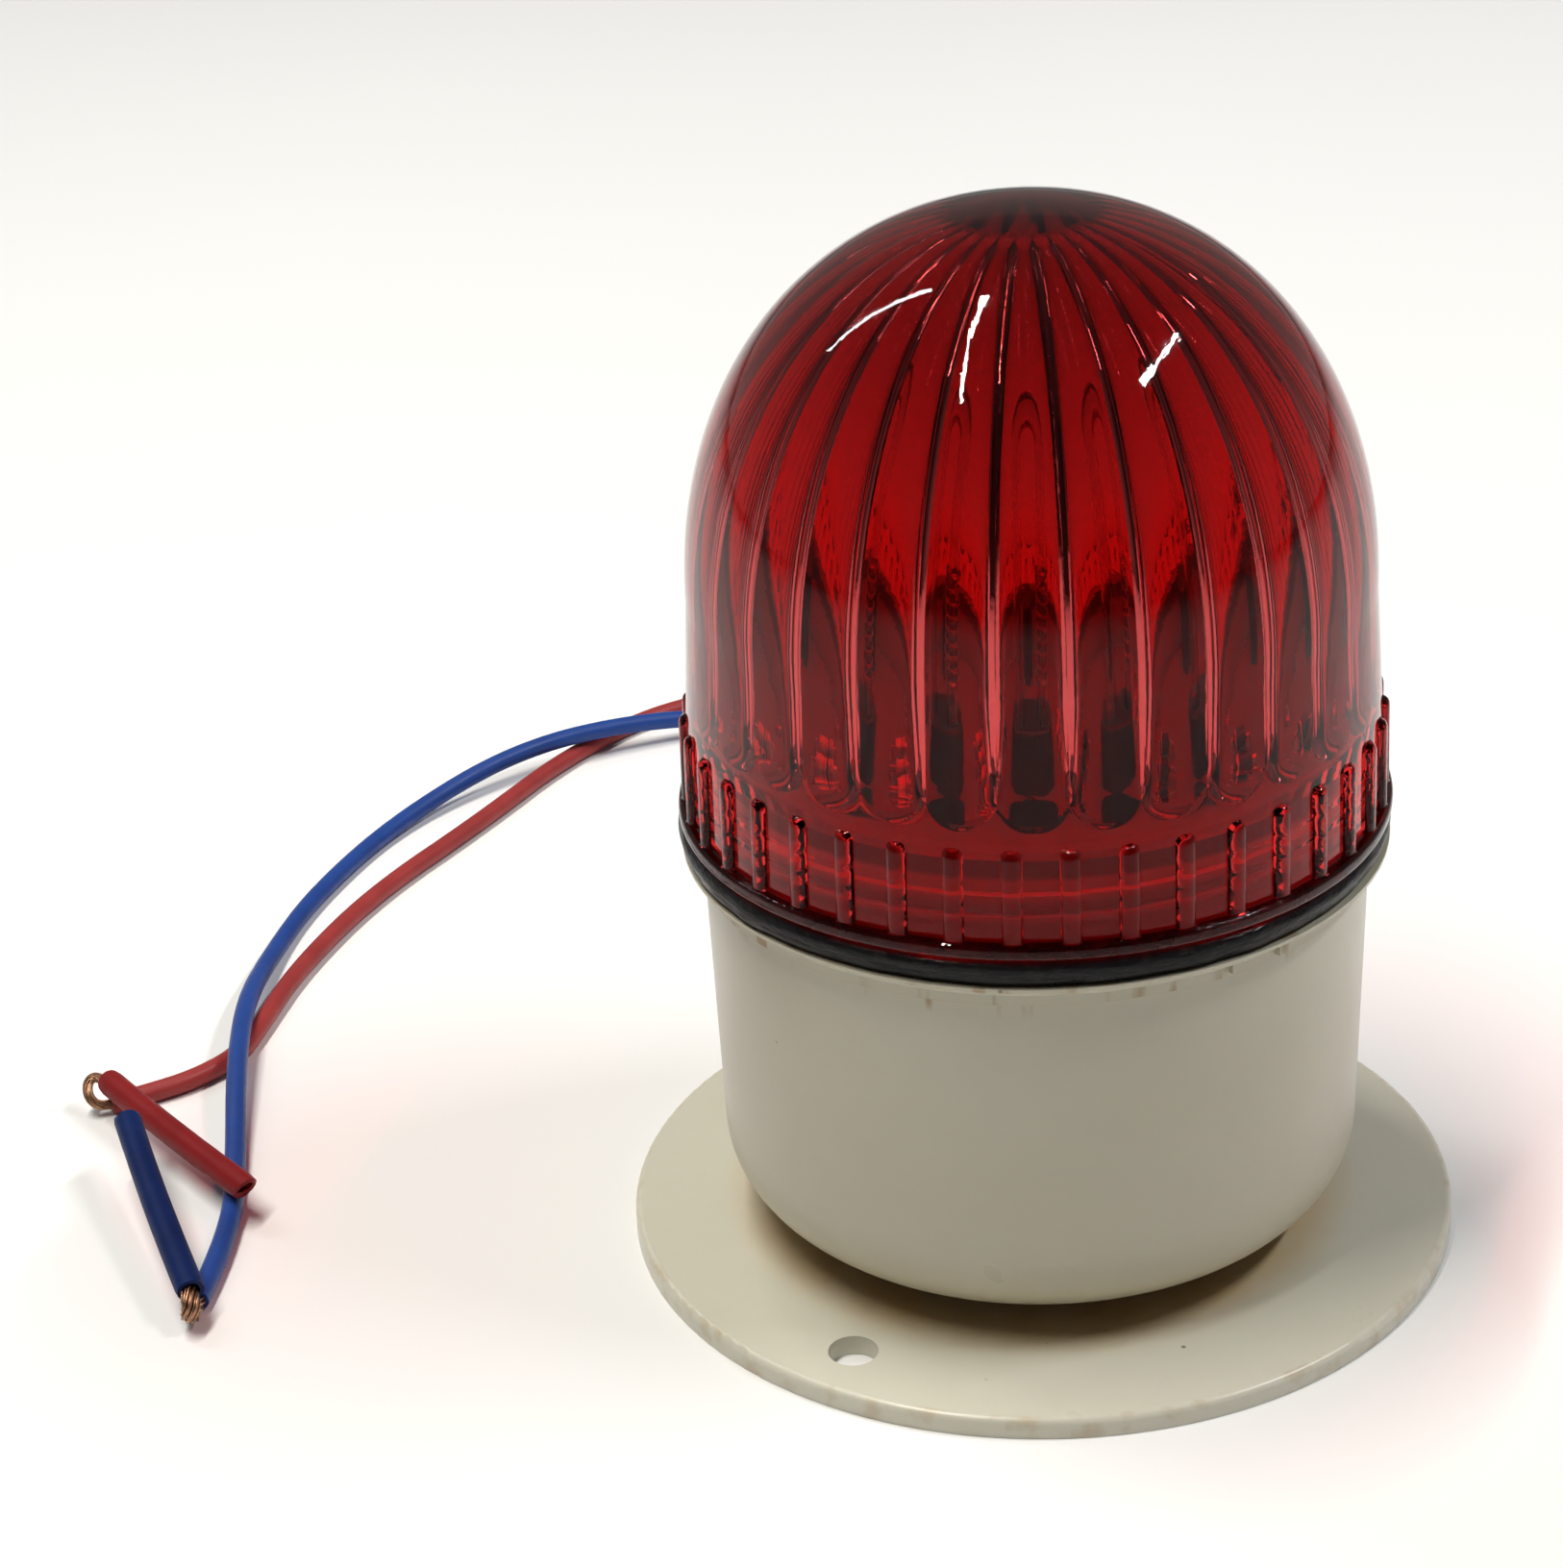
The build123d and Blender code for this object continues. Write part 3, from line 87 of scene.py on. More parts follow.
RED_ROUTE = (
    (LEAD_SPACING, GROMMET_FACE_Y, LEAD_EXIT_Z),
    (LEAD_SPACING, 51.5, LEAD_EXIT_Z),
    (4.5, 64.0, 8.0),
    (10.0, 79.0, LEAD_FLOOR_Z),
    (14.5, 101.0, LEAD_FLOOR_Z),
    (9.0, 125.0, LEAD_FLOOR_Z),
    (-10.0, 144.0, LEAD_FLOOR_Z),
    (-35.0, 150.5, LEAD_FLOOR_Z),
    (-57.5, 145.0, LEAD_FLOOR_Z),
    (-73.0, 126.5, LEAD_FLOOR_Z),
    (-84.0, 103.0, LEAD_FLOOR_Z),
    (-96.5, 80.0, LEAD_FLOOR_Z),
    (-103.5, 58.0, LEAD_FLOOR_Z),
    (-105.8, 42.5, LEAD_FLOOR_Z),
    (-107.2, 33.8, LEAD_FLOOR_Z),
    (-112.0, 27.7, LEAD_FLOOR_Z),
    (-117.0, 24.3, LEAD_FLOOR_Z),
    (-121.8, 21.5, LEAD_FLOOR_Z),
)

BLUE_STRANDS_ROUTE = (
    (-100.6, -24.0, LEAD_FLOOR_Z),
    (-100.86, -27.6, LEAD_FLOOR_Z),
    (-100.3, -29.2, 3.1),
    (-99.9, -28.1, 4.7),
    (-104.8, -17.2, 6.0),
)

RED_STRANDS_ROUTE = (
    (-121.8, 21.5, LEAD_FLOOR_Z),
    (-123.3, 20.7, LEAD_FLOOR_Z),
    (-124.8, 21.2, 2.8),
    (-125.0, 23.1, 4.2),
    (-123.2, 23.3, 4.7),
    (-116.4, 15.7, 4.7),
)

# Bare strands: how thick one wire is, how many radians the bundle twists in a millimetre, and how
# fast the wires part and close again over the fold
STRAND_RADIUS = 0.145
STRAND_TWIST = 0.42
STRAND_PARTING = 1.7

# Sleeves: their walls, and how much their edges are softened
SLEEVE_RADIUS = 1.75
SLEEVE_BORE = 1.0
SLEEVE_EDGE = 0.12

# Each lead and what is on its end: its length in metres, the other sizes in millimetres, and two shades
# each of its insulation and its sleeve. Strands lie in layers of (wires, distance from the middle), and
# fray is the share by which a wire may stray outwards.
LEADS = {
    "blue": {
        "route": BLUE_ROUTE,
        "bare": BLUE_STRANDS_ROUTE,
        "length": 0.325,
        "strands": {"layers": ((1, 0.0), (6, 0.30), (12, 0.60), (9, 0.82)), "fray": 0.28},
        "sleeve": {"setback": 1.2, "length": 36.5, "bow": -0.25, "slant": 1.2},
        "insulation": ((0.013, 0.056, 0.27), (0.010, 0.044, 0.22)),
        "tubing": ((0.002, 0.014, 0.088), (0.0015, 0.010, 0.065)),
    },
    "red": {
        "route": RED_ROUTE,
        "bare": RED_STRANDS_ROUTE,
        "length": 0.307,
        "strands": {"layers": ((1, 0.0), (6, 0.28), (12, 0.54)), "fray": 0.0},
        "sleeve": {"setback": 2.2, "length": 35.0, "bow": 0.2, "slant": -1.0},
        "insulation": ((0.31, 0.034, 0.032), (0.25, 0.025, 0.025)),
        "tubing": ((0.21, 0.010, 0.012), (0.17, 0.008, 0.009)),
    },
}

# Lens outside, in millimetres
LENS_BOTTOM = 55.4
LENS_BEAD_RADIUS = 41.4
LENS_BEAD_TOP = 57.2
LENS_BEAD_ROUND = 0.6
COLLAR_RADIUS = 40.1
COLLAR_TOP = 67.7
COLLAR_TOP_RADIUS = 39.9
SPRING_Z = 82.2
SPRING_RADIUS = 39.1
DOME_HEIGHT = 44.0
DOME_ROUNDNESS = 2.13
GRIP_RIBS = 40
GRIP_RIB_START = 5.5
GRIP_RIB_HALF_WIDTH = 1.15
GRIP_RIB_HEIGHT = 0.85
GRIP_RIB_TOP = 68.0
GRIP_RIB_ROUND = 0.95
BEAD_FILLET = 0.12
POLE_RADIUS = 0.5

# Lens inside, in millimetres. The flutes are ribs with an arc for their section, on a wall FLUTE_WALL less
# FLUTE_RISE thick. They rise by LOW_FLUTE_RISE at their lower ends and by FLUTE_RISE at the spring line,
# and fade out towards the plain disc under the pole.
COLLAR_BORE = 37.95
BORE_BEVEL = 0.3
BORE_TOP = 66.8
FLUTES = 32
FLUTE_BOTTOM = 69.5
FLUTE_WALL = 3.2
FLUTE_RISE = 1.8
LOW_FLUTE_RISE = 1.5
DISC_RADIUS = 8.5
DISC_EDGE = 1.0
CROWN_WALL = 1.4
THREAD_PITCH = 2.5
THREAD_TURNS = 2.6
THREAD_START = 58.45
THREAD_DEPTH = 0.12
THREAD_HALF_WIDTH = 0.9
THREAD_FADE = 0.04

# Gasket, in millimetres: its bore and the rounding of its edge, how far the lens rim sinks into it, how
# far its edge is pushed in on the side at the lean's bearing (in radians), and how much its edge wavers
# above and below its middle
GASKET_BORE = 38.05
GASKET_ROUND = 1.25
GASKET_GRIP = 0.03
GASKET_LEAN = 0.35
GASKET_LEAN_BEARING = 0.35
GASKET_UPPER_SLACK = 0.2
GASKET_LOWER_SLACK = 0.42

# Where the stained areas, the painted shade and the painted bounce light on the cream plastic begin and
# end: heights on the housing, radii on the flange
RIM_BAND = (0.0478, 0.0521)
BAND_SEAM = (0.04905, 0.04935)
CUP_FOOT = (0.0, 0.012)
NECK_RIM = (0.0634, 0.07)
UNDER_CUP_SHADE = (0.0, 0.0355)
FLANGE_EDGE = (0.0492, 0.052)

# Stage: half the floor's side, how far it lies under the object's foot, how high the lamps hang, and the
# point that they face
FLOOR_REACH = 4.0
FLOOR_DROP = 0.00005
CEILING = 1.5
LAMP_AIM = (0, 0, 0.06)


# ---------------------------------------------------------------- camera

def add_camera():
    """The camera, set by its bearings about the object's foot."""
    forward = Vector((
        -sin(CAMERA_YAW) * cos(CAMERA_PITCH),
        cos(CAMERA_YAW) * cos(CAMERA_PITCH),
        -sin(CAMERA_PITCH),
    ))
    level = Vector((cos(CAMERA_YAW), sin(CAMERA_YAW), 0))
    upright = level.cross(forward)
    right = cos(CAMERA_ROLL) * level + sin(CAMERA_ROLL) * upright
    up = cos(CAMERA_ROLL) * upright - sin(CAMERA_ROLL) * level
    camera = bpy.data.objects.new("camera", bpy.data.cameras.new("camera"))
    camera.data.lens = CAMERA_LENS
    camera.data.sensor_width = SENSOR
    camera.data.clip_start = 0.01
    turn = Matrix((right, up, -forward)).transposed().to_4x4()
    camera.matrix_world = Matrix.Translation((0, -CAMERA_BACK, CAMERA_UP)) @ turn
    bpy.context.scene.collection.objects.link(camera)
    bpy.context.scene.camera = camera


# ---------------------------------------------------------------- shader nodes

def new_material(name):
    """A material with its node tree and its Principled shader."""
    material = bpy.data.materials.new(name)
    material.use_nodes = True
    return material, material.node_tree, material.node_tree.nodes["Principled BSDF"]


def connect(tree, value, socket):
    """Feeds a socket from another socket, or sets it to a plain value."""
    if isinstance(value, bpy.types.NodeSocket):
        tree.links.new(value, socket)
    else:
        socket.default_value = value


def grey(value):
    """An opaque grey of one level."""
    return (value, value, value, 1)


def place(tree):
    """The point's own coordinates on its piece, in metres."""
    return tree.nodes.new("ShaderNodeTexCoord").outputs["Object"]


def stretched(tree, scale, turn=(0, 0, 0)):
    """The piece's coordinates, scaled and turned, for drawn-out patterns."""
    node = tree.nodes.new("ShaderNodeMapping")
    node.inputs["Scale"].default_value = scale
    node.inputs["Rotation"].default_value = turn
    tree.links.new(place(tree), node.inputs["Vector"])
    return node.outputs["Vector"]


def noise(tree, size, detail=3.0, rough=0.5, vector=None, shift=0.0):
    """Noise from 0 to 1 whose features are about size metres wide."""
    node = tree.nodes.new("ShaderNodeTexNoise")
    node.noise_dimensions = "4D"
    node.inputs["W"].default_value = shift
    node.inputs["Scale"].default_value = 1 / size
    node.inputs["Detail"].default_value = detail
    node.inputs["Roughness"].default_value = rough
    tree.links.new(vector or place(tree), node.inputs["Vector"])
    return node.outputs["Fac"]


def cells(tree, size, output="Distance"):
    """Voronoi cells about size metres apart: distance from each cell's centre, or its random colour."""
    node = tree.nodes.new("ShaderNodeTexVoronoi")
    node.inputs["Scale"].default_value = 1 / size
    tree.links.new(place(tree), node.inputs["Vector"])
    return node.outputs[output]


def ramp(tree, value, *stops):
    """Straight slopes between (position, level) stops, where a level is a grey or a colour."""
    node = tree.nodes.new("ShaderNodeValToRGB")
    elements = node.color_ramp.elements
    while len(elements) < len(stops):
        elements.new(0.5)
    for element, (position, level) in zip(elements, stops):
        element.position = position
        element.color = grey(level) if isinstance(level, (int, float)) else (*level, 1)
    tree.links.new(value, node.inputs["Fac"])
    return node.outputs["Color"]


def mix(tree, factor, first, second, blend="MIX"):
    """The second colour laid over the first by a factor."""
    node = tree.nodes.new("ShaderNodeMix")
    node.data_type = "RGBA"
    node.blend_type = blend
    connect(tree, factor, node.inputs[0])
    for value, socket in ((first, node.inputs[6]), (second, node.inputs[7])):
        whole = value if isinstance(value, bpy.types.NodeSocket) else (*value, 1)
        connect(tree, whole, socket)
    return node.outputs[2]


def maths(tree, operation, *values):
    """One maths node on sockets or numbers."""
    node = tree.nodes.new("ShaderNodeMath")
    node.operation = operation
    for value, socket in zip(values, node.inputs):
        connect(tree, value, socket)
    return node.outputs[0]


def split(tree, vector=None):
    """The three coordinates of a vector, or else of the point, in metres."""
    node = tree.nodes.new("ShaderNodeSeparateXYZ")
    tree.links.new(vector or place(tree), node.inputs[0])
    return node.outputs


def from_axis(tree):
    """Distance from the object's upright axis, in metres."""
    x, y, _ = split(tree)
    squares = maths(tree, "ADD", maths(tree, "MULTIPLY", x, x), maths(tree, "MULTIPLY", y, y))
    return maths(tree, "SQRT", squares)


def between(tree, value, low, high, soft):
    """1 where value lies between low and high, with edges soft metres wide."""
    edges = []
    for start, end in ((low - soft, low + soft), (high + soft, high - soft)):
        node = tree.nodes.new("ShaderNodeMapRange")
        node.interpolation_type = "SMOOTHSTEP"
        tree.links.new(value, node.inputs["Value"])
        node.inputs["From Min"].default_value = start
        node.inputs["From Max"].default_value = end
        edges.append(node.outputs[0])
    return maths(tree, "MULTIPLY", *edges)


def bump(tree, shader, height, depth):
    """Relief on the surface, depth metres deep where height is 1."""
    node = tree.nodes.new("ShaderNodeBump")
    node.inputs["Strength"].default_value = 1.0
    node.inputs["Distance"].default_value = depth
    tree.links.new(height, node.inputs["Height"])
    tree.links.new(node.outputs["Normal"], shader.inputs["Normal"])


# ---------------------------------------------------------------- materials

def specks(tree, size, share, keep):
    """Small dots, one in some of the cells: share sets their width and keep how many stay."""
    near = cells(tree, size)
    chance = cells(tree, size, "Color")
    dot = ramp(tree, near, (share * 0.6, 1), (share, 0))
    stay = ramp(tree, chance, (keep, 1), (keep + 0.02, 0))
    return maths(tree, "MULTIPLY", dot, stay)


def aged_plastic(name, colour, shade, stain_and_light_layers):
    """Cream moulded plastic, yellowed, with specks, scuffs, stain marks, and painted light and shade."""
    material, tree, shader = new_material(name)
    tone = mix(tree, ramp(tree, noise(tree, 0.04, 1), (0.25, 0), (0.75, 1)), colour, shade)
    fine = ramp(tree, noise(tree, 0.005, 2), (0.2, 0.965), (0.8, 1.0))
    tone = mix(tree, 1.0, tone, fine, "MULTIPLY")
    dirt = specks(tree, 0.0052, 0.065, 0.2)
    tone = mix(tree, maths(tree, "MULTIPLY", dirt, 0.8), tone, (0.15, 0.11, 0.06))
    drawn = stretched(tree, (1, 1, 0.18), (0.5, 0.3, 0.9))
    scuff = ramp(tree, noise(tree, 0.0016, 2, 0.5, drawn), (0.705, 0), (0.76, 1))
    patch = ramp(tree, noise(tree, 0.014, 2, shift=3.1), (0.5, 0), (0.62, 1))
    scuff = maths(tree, "MULTIPLY", scuff, patch)
    tone = mix(tree, maths(tree, "MULTIPLY", scuff, 0.45), tone, (0.34, 0.31, 0.25))
    # Stain marks, painted shade and painted bounce light, laid over the tone
    for mask, amount, layer_colour in stain_and_light_layers(tree):
        tone = mix(tree, maths(tree, "MULTIPLY", mask, amount), tone, layer_colour)
    tree.links.new(tone, shader.inputs["Base Color"])
    gloss = ramp(tree, noise(tree, 0.012, 3, shift=1.7), (0.25, 0.27), (0.75, 0.35))
    tree.links.new(gloss, shader.inputs["Roughness"])
    shader.inputs["Subsurface Weight"].default_value = 0.12
    shader.inputs["Subsurface Radius"].default_value = (1.0, 0.75, 0.4)
    shader.inputs["Subsurface Scale"].default_value = 0.0015
    shader.inputs["Specular IOR Level"].default_value = 0.5
    fine_grain = noise(tree, 0.0009, 2)
    sink_marks = maths(tree, "MULTIPLY", noise(tree, 0.02, 1), 4.0)
    bump(tree, shader, maths(tree, "ADD", fine_grain, sink_marks), 0.000014)
    return material


def housing_stains_and_painted_light(tree):
    """Brown drips from the rim band, painted warm bounce light low on the cup, and the neck's rim darkened
    to a deep brown.
    """
    _, _, z = split(tree)
    drops = ramp(tree, noise(tree, 0.0024, 2, 0.4, stretched(tree, (1, 1, 0.15))), (0.58, 0), (0.68, 1))
    patch = ramp(tree, noise(tree, 0.011, 1, shift=5.0), (0.44, 0), (0.56, 1))
    rim = between(tree, z, *RIM_BAND, 0.0009)
    drips = maths(tree, "MULTIPLY", maths(tree, "MULTIPLY", drops, patch), rim)
    seam = between(tree, z, *BAND_SEAM, 0.00015)
    seam = maths(tree, "MULTIPLY", seam, noise(tree, 0.004, 2, shift=2.0))
    # Painted warm bounce light: the foot of the cup tinted a warmer yellow, as if lit from the flange
    # below
    foot = between(tree, z, *CUP_FOOT, 0.005)
    # The neck's rim darkened to a deep brown
    neck = between(tree, z, *NECK_RIM, 0.0005)
    return (
        (drips, 0.8, (0.27, 0.17, 0.07)),
        (seam, 0.5, (0.42, 0.33, 0.2)),
        (foot, 0.35, (0.52, 0.45, 0.30)),
        (neck, 0.85, (0.10, 0.075, 0.05)),
    )


def flange_stains_and_painted_shade(tree):
    """A brown ring under the cup, painted shade that deepens its shadow on the flange, and a dusty edge.
    """
    radius = from_axis(tree)
    # Painted shade: a cloudy brown ring under the cup
    under_cup_shade = between(tree, radius, *UNDER_CUP_SHADE, 0.0045)
    cloudy = ramp(tree, noise(tree, 0.009, 3, shift=4.0), (0.3, 0.6), (0.7, 1))
    edge = between(tree, radius, *FLANGE_EDGE, 0.0004)
    grime = ramp(tree, noise(tree, 0.0035, 3, shift=7.0), (0.5, 0), (0.65, 1))
    return (
        (maths(tree, "MULTIPLY", under_cup_shade, cloudy), 0.9, (0.46, 0.28, 0.09)),
        (maths(tree, "MULTIPLY", edge, grime), 0.5, (0.45, 0.34, 0.2)),
    )


def lens_plastic():
    """Clear red plastic, its colour changed with height and darkened towards the crown as painted shade.
    It bends what is seen through it, but light passes straight through it to what it shades."""
    material, tree, shader = new_material("lens_clear_red")
    _, _, z = split(tree)
    tint_height = 0.13
    # Painted shade: the colour changes with height and darkens towards the crown
    tint = ramp(
        tree,
        maths(tree, "DIVIDE", z, tint_height),
        (0.52, (0.68, 0.022, 0.024)),
        (0.60, (0.57, 0.065, 0.067)),
        (0.80, (0.50, 0.062, 0.064)),
        (0.92, (0.29, 0.030, 0.032)),
    )
    tree.links.new(tint, shader.inputs["Base Color"])
    shader.inputs["Specular Tint"].default_value = (0.28, 0.28, 0.28, 1)
    shader.inputs["Transmission Weight"].default_value = 1.0
    shader.inputs["IOR"].default_value = 1.5
    smudge = ramp(tree, noise(tree, 0.012, 4, 0.6), (0.45, 0.015), (0.8, 0.09))
    tree.links.new(smudge, shader.inputs["Roughness"])
    scratch = noise(tree, 0.0011, 2, 0.5, stretched(tree, (1, 0.12, 1), (0.4, 0.2, 0.7)))
    wave = maths(tree, "MULTIPLY", noise(tree, 0.017, 1), 12.0)
    bump(tree, shader, maths(tree, "ADD", scratch, wave), 0.000012)
    through = tree.nodes.new("ShaderNodeBsdfTransparent")
    through.inputs["Color"].default_value = (0.74, 0.022, 0.025, 1)
    path = tree.nodes.new("ShaderNodeLightPath")
    either = tree.nodes.new("ShaderNodeMixShader")
    tree.links.new(path.outputs["Is Shadow Ray"], either.inputs[0])
    tree.links.new(shader.outputs[0], either.inputs[1])
    tree.links.new(through.outputs[0], either.inputs[2])
    tree.links.new(either.outputs[0], tree.nodes["Material Output"].inputs["Surface"])
    return material


def tube_glass():
    """Thin clear glass of the flash tube."""
    material, tree, shader = new_material("flash_tube_glass")
    shader.inputs["Base Color"].default_value = (0.93, 0.95, 0.96, 1)
    shader.inputs["Transmission Weight"].default_value = 1.0
    shader.inputs["IOR"].default_value = 1.47
    haze = ramp(tree, noise(tree, 0.003, 3), (0.4, 0.02), (0.8, 0.12))
    tree.links.new(haze, shader.inputs["Roughness"])
    return material


def gasket_rubber():
    """Black rubber with an uneven shine, shallow folds and a little dust."""
    material, tree, shader = new_material("gasket_rubber_black")
    dust = ramp(tree, noise(tree, 0.0022, 4, 0.65), (0.52, 0), (0.74, 1))
    tone = mix(tree, maths(tree, "MULTIPLY", dust, 0.3), (0.006, 0.006, 0.007), (0.05, 0.047, 0.043))
    tree.links.new(tone, shader.inputs["Base Color"])
    gloss = ramp(tree, noise(tree, 0.005, 3, shift=2.0), (0.35, 0.24), (0.7, 0.42))
    tree.links.new(gloss, shader.inputs["Roughness"])
    shader.inputs["Specular IOR Level"].default_value = 0.14
    folds = noise(tree, 0.0022, 3, 0.55, stretched(tree, (0.35, 0.35, 1.3)))
    bump(tree, shader, folds, 0.0005)
    return material


def soft_plastic(name, colour, deep, rough, sheen=0.5):
    """Soft or moulded plastic with a slight mottle, grime and a fine grain."""
    material, tree, shader = new_material(name)
    shader.inputs["Specular IOR Level"].default_value = sheen
    tone = mix(tree, ramp(tree, noise(tree, 0.006, 3), (0.35, 0), (0.7, 1)), colour, deep)
    dirt = ramp(tree, noise(tree, 0.0018, 4, 0.7, shift=1.0), (0.56, 0), (0.75, 1))
    dirty = tuple(0.5 * part + 0.03 for part in deep)
    tone = mix(tree, maths(tree, "MULTIPLY", dirt, 0.25), tone, dirty)
    tree.links.new(tone, shader.inputs["Base Color"])
    gloss = ramp(tree, noise(tree, 0.003, 3, shift=2.0), (0.3, rough), (0.75, rough + 0.16))
    tree.links.new(gloss, shader.inputs["Roughness"])
    bump(tree, shader, noise(tree, 0.0006, 3), 0.00002)
    return material


def metal(name, colour, tarnish, rough, grain=(1, 1, 1)):
    """Bare metal with tarnish and a drawn or turned grain."""
    material, tree, shader = new_material(name)
    spots = ramp(tree, noise(tree, 0.0016, 4, 0.65), (0.42, 0), (0.72, 1))
    tree.links.new(mix(tree, spots, colour, tarnish), shader.inputs["Base Color"])
    shader.inputs["Metallic"].default_value = 1.0
    lines = noise(tree, 0.0005, 2, 0.5, stretched(tree, grain))
    tree.links.new(ramp(tree, lines, (0.3, rough), (0.7, rough + 0.2)), shader.inputs["Roughness"])
    bump(tree, shader, lines, 0.00001)
    return material


def board_laminate():
    """Paper laminate: brown fibre above, green mask over copper tracks below."""
    material, tree, shader = new_material("board_paper_laminate")
    _, _, z = split(tree)
    fibre = noise(tree, 0.0012, 4, 0.6, stretched(tree, (1, 0.3, 1)))
    top = mix(tree, ramp(tree, fibre, (0.3, 0), (0.7, 1)), (0.11, 0.060, 0.032), (0.17, 0.10, 0.055))
    track_spacing = 0.00625
    tracks = tree.nodes.new("ShaderNodeTexVoronoi")
    tracks.feature = "DISTANCE_TO_EDGE"
    tracks.inputs["Scale"].default_value = 1 / track_spacing
    tree.links.new(stretched(tree, (1, 1, 0)), tracks.inputs["Vector"])
    gap = ramp(tree, tracks.outputs["Distance"], (0.06, 1), (0.09, 0))
    mask = mix(tree, gap, (0.05, 0.20, 0.06), (0.02, 0.09, 0.03))
    board_middle = 0.05665
    below = between(tree, z, 0.0, board_middle, 0.0001)
    tree.links.new(mix(tree, below, top, mask), shader.inputs["Base Color"])
    tree.links.new(ramp(tree, fibre, (0.3, 0.42), (0.7, 0.6)), shader.inputs["Roughness"])
    bump(tree, shader, fibre, 0.00003)
    return material


def banded_body(name, colour, bands, axis_x):
    """A small lacquered component lying along X about axis_x, with painted bands at (offset, colour) and
    bare wire beyond its body."""
    half_body, half_band = 0.0031, 0.0003
    material, tree, shader = new_material(name)
    x, _, _ = split(tree)
    along = maths(tree, "SUBTRACT", x, axis_x)
    mottle = ramp(tree, noise(tree, 0.0009, 3), (0.3, 0.85), (0.7, 1.0))
    tone = mix(tree, 1.0, colour, mottle, "MULTIPLY")
    for offset, band_colour in bands:
        stripe = between(tree, along, offset - half_band, offset + half_band, 0.00005)
        tone = mix(tree, stripe, tone, band_colour)
    wire = maths(tree, "GREATER_THAN", maths(tree, "ABSOLUTE", along), half_body)
    tone = mix(tree, wire, tone, (0.62, 0.60, 0.56))
    tree.links.new(tone, shader.inputs["Base Color"])
    tree.links.new(wire, shader.inputs["Metallic"])
    shader.inputs["Roughness"].default_value = 0.35
    bump(tree, shader, noise(tree, 0.0005, 2), 0.00002)
    return material


def capacitor_skin():
    """Dark shrink sleeve with one pale stripe, and a bare lower end."""
    half_stripe, bare_end = 0.0014, 0.0002
    material, tree, shader = new_material("capacitor_sleeve_dark")
    low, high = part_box("storage_capacitor")
    x, y, z = split(tree)
    aside = maths(tree, "SUBTRACT", y, (low.y + high.y) / 2)
    west = maths(tree, "LESS_THAN", x, (low.x + high.x) / 2)
    stripe = maths(tree, "MULTIPLY", between(tree, aside, -half_stripe, half_stripe, 0.0001), west)
    mottle = ramp(tree, noise(tree, 0.004, 3), (0.3, 0), (0.7, 1))
    tone = mix(tree, mottle, (0.012, 0.016, 0.05), (0.02, 0.025, 0.07))
    tone = mix(tree, stripe, tone, (0.60, 0.60, 0.62))
    end = maths(tree, "LESS_THAN", z, low.z + bare_end)
    tone = mix(tree, end, tone, (0.65, 0.65, 0.66))
    tree.links.new(tone, shader.inputs["Base Color"])
    tree.links.new(end, shader.inputs["Metallic"])
    shader.inputs["Roughness"].default_value = 0.28
    bump(tree, shader, noise(tree, 0.002, 3), 0.00003)
    return material


def wound_tape():
    """Amber tape over a winding, its layers showing as fine level lines."""
    material, tree, shader = new_material("winding_tape_amber")
    layers = noise(tree, 0.0009, 2, 0.4, stretched(tree, (0.2, 0.2, 1)))
    tone = mix(tree, ramp(tree, layers, (0.35, 0), (0.65, 1)), (0.62, 0.36, 0.05), (0.78, 0.52, 0.10))
    tree.links.new(tone, shader.inputs["Base Color"])
    shader.inputs["Roughness"].default_value = 0.25
    bump(tree, shader, layers, 0.00005)
    return material


def floor_paint():
    """Plain pale floor with the faintest mottle, its colour darkened far from the object as painted shade.
    """
    material, tree, shader = new_material("floor_pale")
    cloud = ramp(tree, noise(tree, 0.25, 3), (0.3, (0.835, 0.835, 0.83)), (0.7, (0.855, 0.855, 0.85)))
    # Painted shade: the floor darkens with distance from the object
    away = ramp(tree, maths(tree, "DIVIDE", from_axis(tree), FLOOR_REACH), (0.17, 1.0), (0.8, 0.7))
    tree.links.new(mix(tree, 1.0, cloud, away, "MULTIPLY"), shader.inputs["Base Color"])
    shader.inputs["Roughness"].default_value = 0.7
    shader.inputs["Specular IOR Level"].default_value = 0.15
    return material


# ---------------------------------------------------------------- meshes

def add_object(name, data):
    """A new object in the scene."""
    thing = bpy.data.objects.new(name, data)
    bpy.context.scene.collection.objects.link(thing)
    return thing


def mesh_piece(name, points, faces, material, sharp=35):
    """A smooth mesh from points in millimetres, creased where its faces turn by over sharp degrees."""
    mesh = bpy.data.meshes.new(name)
    mesh.from_pydata((np.asarray(points) * MM).tolist(), [], faces)
    mesh.validate()
    mesh.shade_smooth()
    mesh.set_sharp_from_angle(angle=radians(sharp))
    mesh.materials.append(material)
    return add_object(name, mesh)


def ring_faces(rings, columns, closed=False):
    """Quads between rings of columns points each. closed joins the last ring to the first."""
    faces = []
    for ring in range(rings if closed else rings - 1):
        this, following = ring * columns, (ring + 1) % rings * columns
        for column in range(columns):
            side = (column + 1) % columns
            faces.append((this + column, this + side, following + side, following + column))
    return faces


def tube_rings(path, radii, sides, start_side=None):
    """Rings of points about a path, carried along it without twist."""
    path = [Vector(point) for point in path]
    runs = [(b - a).normalized() for a, b in zip(path, path[1:])]
    tangents = [runs[0]] + [(a + b).normalized() for a, b in zip(runs, runs[1:])] + [runs[-1]]
    side = start_side or tangents[0].orthogonal()
    points = []
    for place_on, tangent, radius in zip(path, tangents, radii):
        side = (side - side.dot(tangent) * tangent).normalized()
        other = tangent.cross(side)
        for step in range(sides):
            angle = tau * step / sides
            points.append(place_on + radius * (cos(angle) * side + sin(angle) * other))
    return points


# ---------------------------------------------------------------- cords

